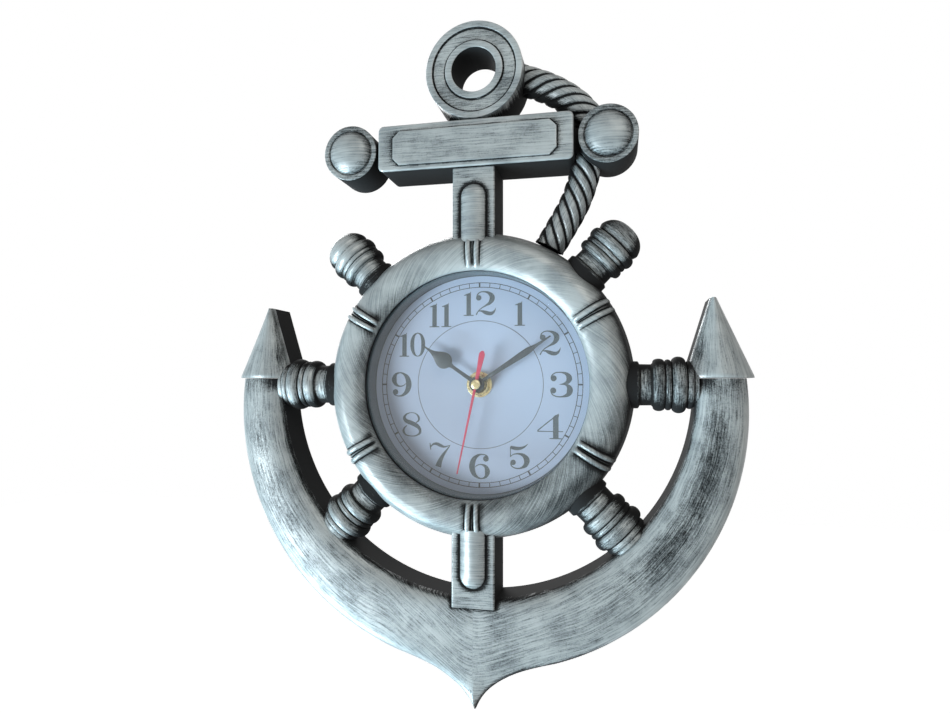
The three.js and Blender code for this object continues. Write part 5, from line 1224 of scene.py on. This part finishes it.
def refined(name, node, material, bevel):
    # A merged copy of the solid, with its edges rounded
    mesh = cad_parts[node].data.copy()
    mesh.materials.clear()
    edit = bmesh.new()
    edit.from_mesh(mesh)
    bmesh.ops.remove_doubles(edit, verts=edit.verts, dist=1e-6)
    bmesh.ops.dissolve_limit(edit, angle_limit=math.radians(1), verts=edit.verts, edges=edit.edges)
    edit.to_mesh(mesh)
    edit.free()
    mesh.materials.append(material)
    shadeSmooth(mesh, 35)
    piece = newObject(name, mesh)
    rounding = piece.modifiers.new("edges", "BEVEL")
    rounding.width = bevel * mm
    rounding.segments = 2
    rounding.limit_method = "ANGLE"
    rounding.angle_limit = math.radians(40)
    rounding.harden_normals = False
    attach(piece, "clock")
    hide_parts(node)


def boxMiddle(low, high):
    # Middle of a box as (x, depth, z), and half its size along each, in millimetres
    middle, half = (low + high) / 2 / mm, (high - low) / 2 / mm
    return (middle.x, -middle.y, middle.z), (half.x, half.y, half.z)


cell = {"length": 50.5, "nub": 2.75, "nubOut": 1.0, "endRadius": 5.2, "collar": 4.6}


def addCell():
    (_, middleD, middleZ), (_, _, radius) = boxMiddle(*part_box("battery"))
    half = cell["length"] / 2
    shoulder = half - cell["nubOut"]
    profile = rounded([
        [-half, 0], [-half, cell["endRadius"]], [-half + 0.35, cell["endRadius"] + 0.3],
        [-half + 0.35, radius], [shoulder - 0.3, radius], [shoulder - 0.3, cell["collar"]],
        [shoulder, cell["collar"] - 0.3], [shoulder, cell["nub"]], [half, cell["nub"]], [half, 0]], 0.3)
    turn = np.linspace(0, 2 * np.pi, 96, endpoint=False)
    distance, reach = profile[:, :1], profile[:, 1:]
    grid = at(distance, middleD + reach * np.cos(turn), middleZ + reach * np.sin(turn))
    makePiece("cellCan", [surface(grid)], cellJacket, standsFor=["battery"])


def addSettingKnob():
    # Rows of radius, depth and the share of the flutes' depth
    (x, middleD, z), (_, halfD, _) = boxMiddle(*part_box("setting_knob"))
    near, far = middleD - halfD, middleD + halfD
    turn = np.linspace(0, 2 * np.pi, 240, endpoint=False)[None, :]
    flute = 0.22 * (1 - np.abs(np.cos(10 * turn)))
    rows = np.array([
        (0.0, near + 0.45, 0), (2.6, near + 0.45, 0), (2.8, near, 0), (4.0, near, 0.4), (4.45, near + 0.3, 1),
        (4.45, far - 0.3, 1), (4.2, far, 0.4), (0.7, far, 0)])
    radius = rows[:, :1] - rows[:, 2:] * flute
    grid = at(x + radius * np.cos(turn), rows[:, 1:2], z + radius * np.sin(turn))
    makePiece("settingKnob", [surface(grid, capEnds=True)], blackMould, "setting_arbor", ["setting_knob"])


screw = {"head": 2.8, "shank": 1.1, "length": 12.0, "seat": 10.1, "height": 1.7, "edge": 0.5, "dome": 1.0,
         "slotHalf": 0.42, "slotReach": 1.7, "slotDepth": 0.75}


def addScrews():
    # Head: a low dome with a cross sunk into it, on a polar grid
    turn = np.linspace(0, 2 * np.pi, 96, endpoint=False)[None, :]
    head, seat, tip = screw["head"], screw["seat"], screw["seat"] + screw["length"]
    reach = np.concatenate([np.linspace(0, 2.1, 15), [2.35, 2.6, 2.75]])[:, None]
    x, z = reach * np.cos(turn), reach * np.sin(turn)
    cross = (np.minimum(np.abs(x), np.abs(z)) < screw["slotHalf"]) & (reach < screw["slotReach"])
    dome = seat - screw["height"] + screw["dome"] * (reach / head) ** 3 + screw["slotDepth"] * cross
    skirt = np.array([
        [head, seat - screw["edge"]], [head, seat], [screw["shank"], seat], [screw["shank"], tip], [0, tip + 0.5]])
    allX = np.vstack([x, skirt[:, :1] * np.cos(turn)])
    allZ = np.vstack([z, skirt[:, :1] * np.sin(turn)])
    depth = np.vstack([dome, skirt[:, 1:] + 0 * turn])
    for order, degrees in enumerate(housing["screwAngles"]):
        angle = math.radians(degrees)
        centreX, centreZ = housing["screwRing"] * math.cos(angle), housing["screwRing"] * math.sin(angle)
        part = surface(at(allX + centreX, depth, allZ + centreZ))
        makePiece(f"backScrew{order + 1}", [part], zincPlate, standsFor=[f"housing_screw_{order + 1}"])


gasket = {"outer": 12, "near": 17.6, "far": 18.4}


def addBack():
    refined("moldedCase", "movement_case", blackMould, 0.35)
    refined("moldedCover", "movement_cover", blackMould, 0.3)
    refined("hangerSheet", "hanger_plate", zincPlate, 0.12)
    ring = flatRing(housing["bore"], gasket["outer"], gasket["near"], gasket["far"], 0.2, 120)
    makePiece("gasketRing", [ring], rubberBlack, standsFor=["rubber_gasket"])
    addCell()
    addSettingKnob()
    addScrews()


# Pieces inside the movement keep their solids and take a finish
insideFinish = {
    "coil": coilCopper, "circuit_board": boardGreen, "centre_bush": goldBrass, "rotor": blackMould,
    **dict.fromkeys(("stator", "positive_contact", "negative_contact"), zincPlate),
    **dict.fromkeys(("train_plate", "intermediate_wheel", "seconds_wheel", "third_wheel", "minute_wheel",
                     "setting_wheel", "hour_wheel"), whiteMould)}


def finishInside():
    for node, material in insideFinish.items():
        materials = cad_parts[node].data.materials
        materials.clear()
        materials.append(material)


addBack()
finishInside()
print("back made")


# Floor, lamps and camera

studio = {"floorZ": -1.45, "floorSize": 14, "floorGlow": 0.92, "world": 0.1}
# Each lamp: place, target, size in metres, power in watts, colour
lamps = {
    "keyLeft": ((-0.72, -0.84, -0.42), (0, 0, 0), 0.55, 10.0, (0.84, 0.94, 1.0)),
    "lowLeft": ((-1.0, -0.36, -1.0), (0, -0.03, 0), 0.7, 26.0, (0.60, 0.86, 1.0)),
    "fillTop": ((0.45, -0.85, 0.75), (0, 0, 0.02), 0.9, 3.2, (1.0, 0.95, 0.88)),
    "edgeRight": ((0.95, -0.30, -0.1), (0, 0, 0), 0.5, 0.3, (1.0, 0.88, 0.76)),
    "backSoft": ((-0.55, 1.15, 0.65), (0, 0, 0), 0.9, 14.0, (1.0, 1.0, 1.0))}


def addFloor():
    bpy.ops.mesh.primitive_plane_add(size=studio["floorSize"], location=(0, 0, studio["floorZ"]))
    floor = bpy.context.object
    floor.name = "studioFloor"
    material = bpy.data.materials.new("paleFloor")
    material.use_nodes = True
    tree = material.node_tree
    glow = math2(tree, "MULTIPLY", rayKinds(tree, "Camera", "Glossy"), studio["floorGlow"])
    feed(tree, tree.nodes["Principled BSDF"],
         BaseColor=(0.9, 0.9, 0.9, 1), Roughness=0.9, EmissionColor=(1, 1, 1, 1), EmissionStrength=glow)
    floor.data.materials.append(material)


def addWorld():
    # White where it is seen, dim as a light
    world = bpy.data.worlds.new("studioWorld")
    bpy.context.scene.world = world
    world.use_nodes = True
    tree = world.node_tree
    seen = rayKinds(tree, "Camera", "Transmission", "Glossy")
    background = next(n for n in tree.nodes if n.type == "BACKGROUND")
    strength = fitRange(tree, seen, 0, 1, studio["world"], 1.0, "LINEAR")
    feed(tree, background, Color=(1, 1, 1, 1), Strength=strength)


def addLamps():
    for name, (place, target, size, power, colour) in lamps.items():
        lamp = bpy.data.lights.new(name, "AREA")
        lamp.shape = "DISK"
        lamp.size = size
        lamp.energy = power
        lamp.color = colour
        holder = newObject(name, lamp)
        holder.location = place
        holder.rotation_euler = (Vector(target) - Vector(place)).to_track_quat("-Z", "Y").to_euler()


view = {"place": (0.06946, -0.34817, 0.00012), "yaw": 12.396, "pitch": 2.430, "roll": 0.10, "lens": 24.77}


def addCamera():
    camera = bpy.data.cameras.new("camera")
    camera.lens = view["lens"]
    camera.sensor_width = 36
    camera.clip_start = 0.01
    holder = newObject("camera", camera)
    turn = Matrix.Rotation(math.radians(view["yaw"]), 4, "Z")
    tilt = Matrix.Rotation(math.radians(90 + view["pitch"]), 4, "X")
    roll = Matrix.Rotation(math.radians(view["roll"]), 4, "Z")
    holder.matrix_world = Matrix.Translation(view["place"]) @ turn @ tilt @ roll
    bpy.context.scene.camera = holder


addFloor()
addWorld()
addLamps()
addCamera()
bpy.context.scene.view_settings.view_transform = "Standard"
print("studio made")
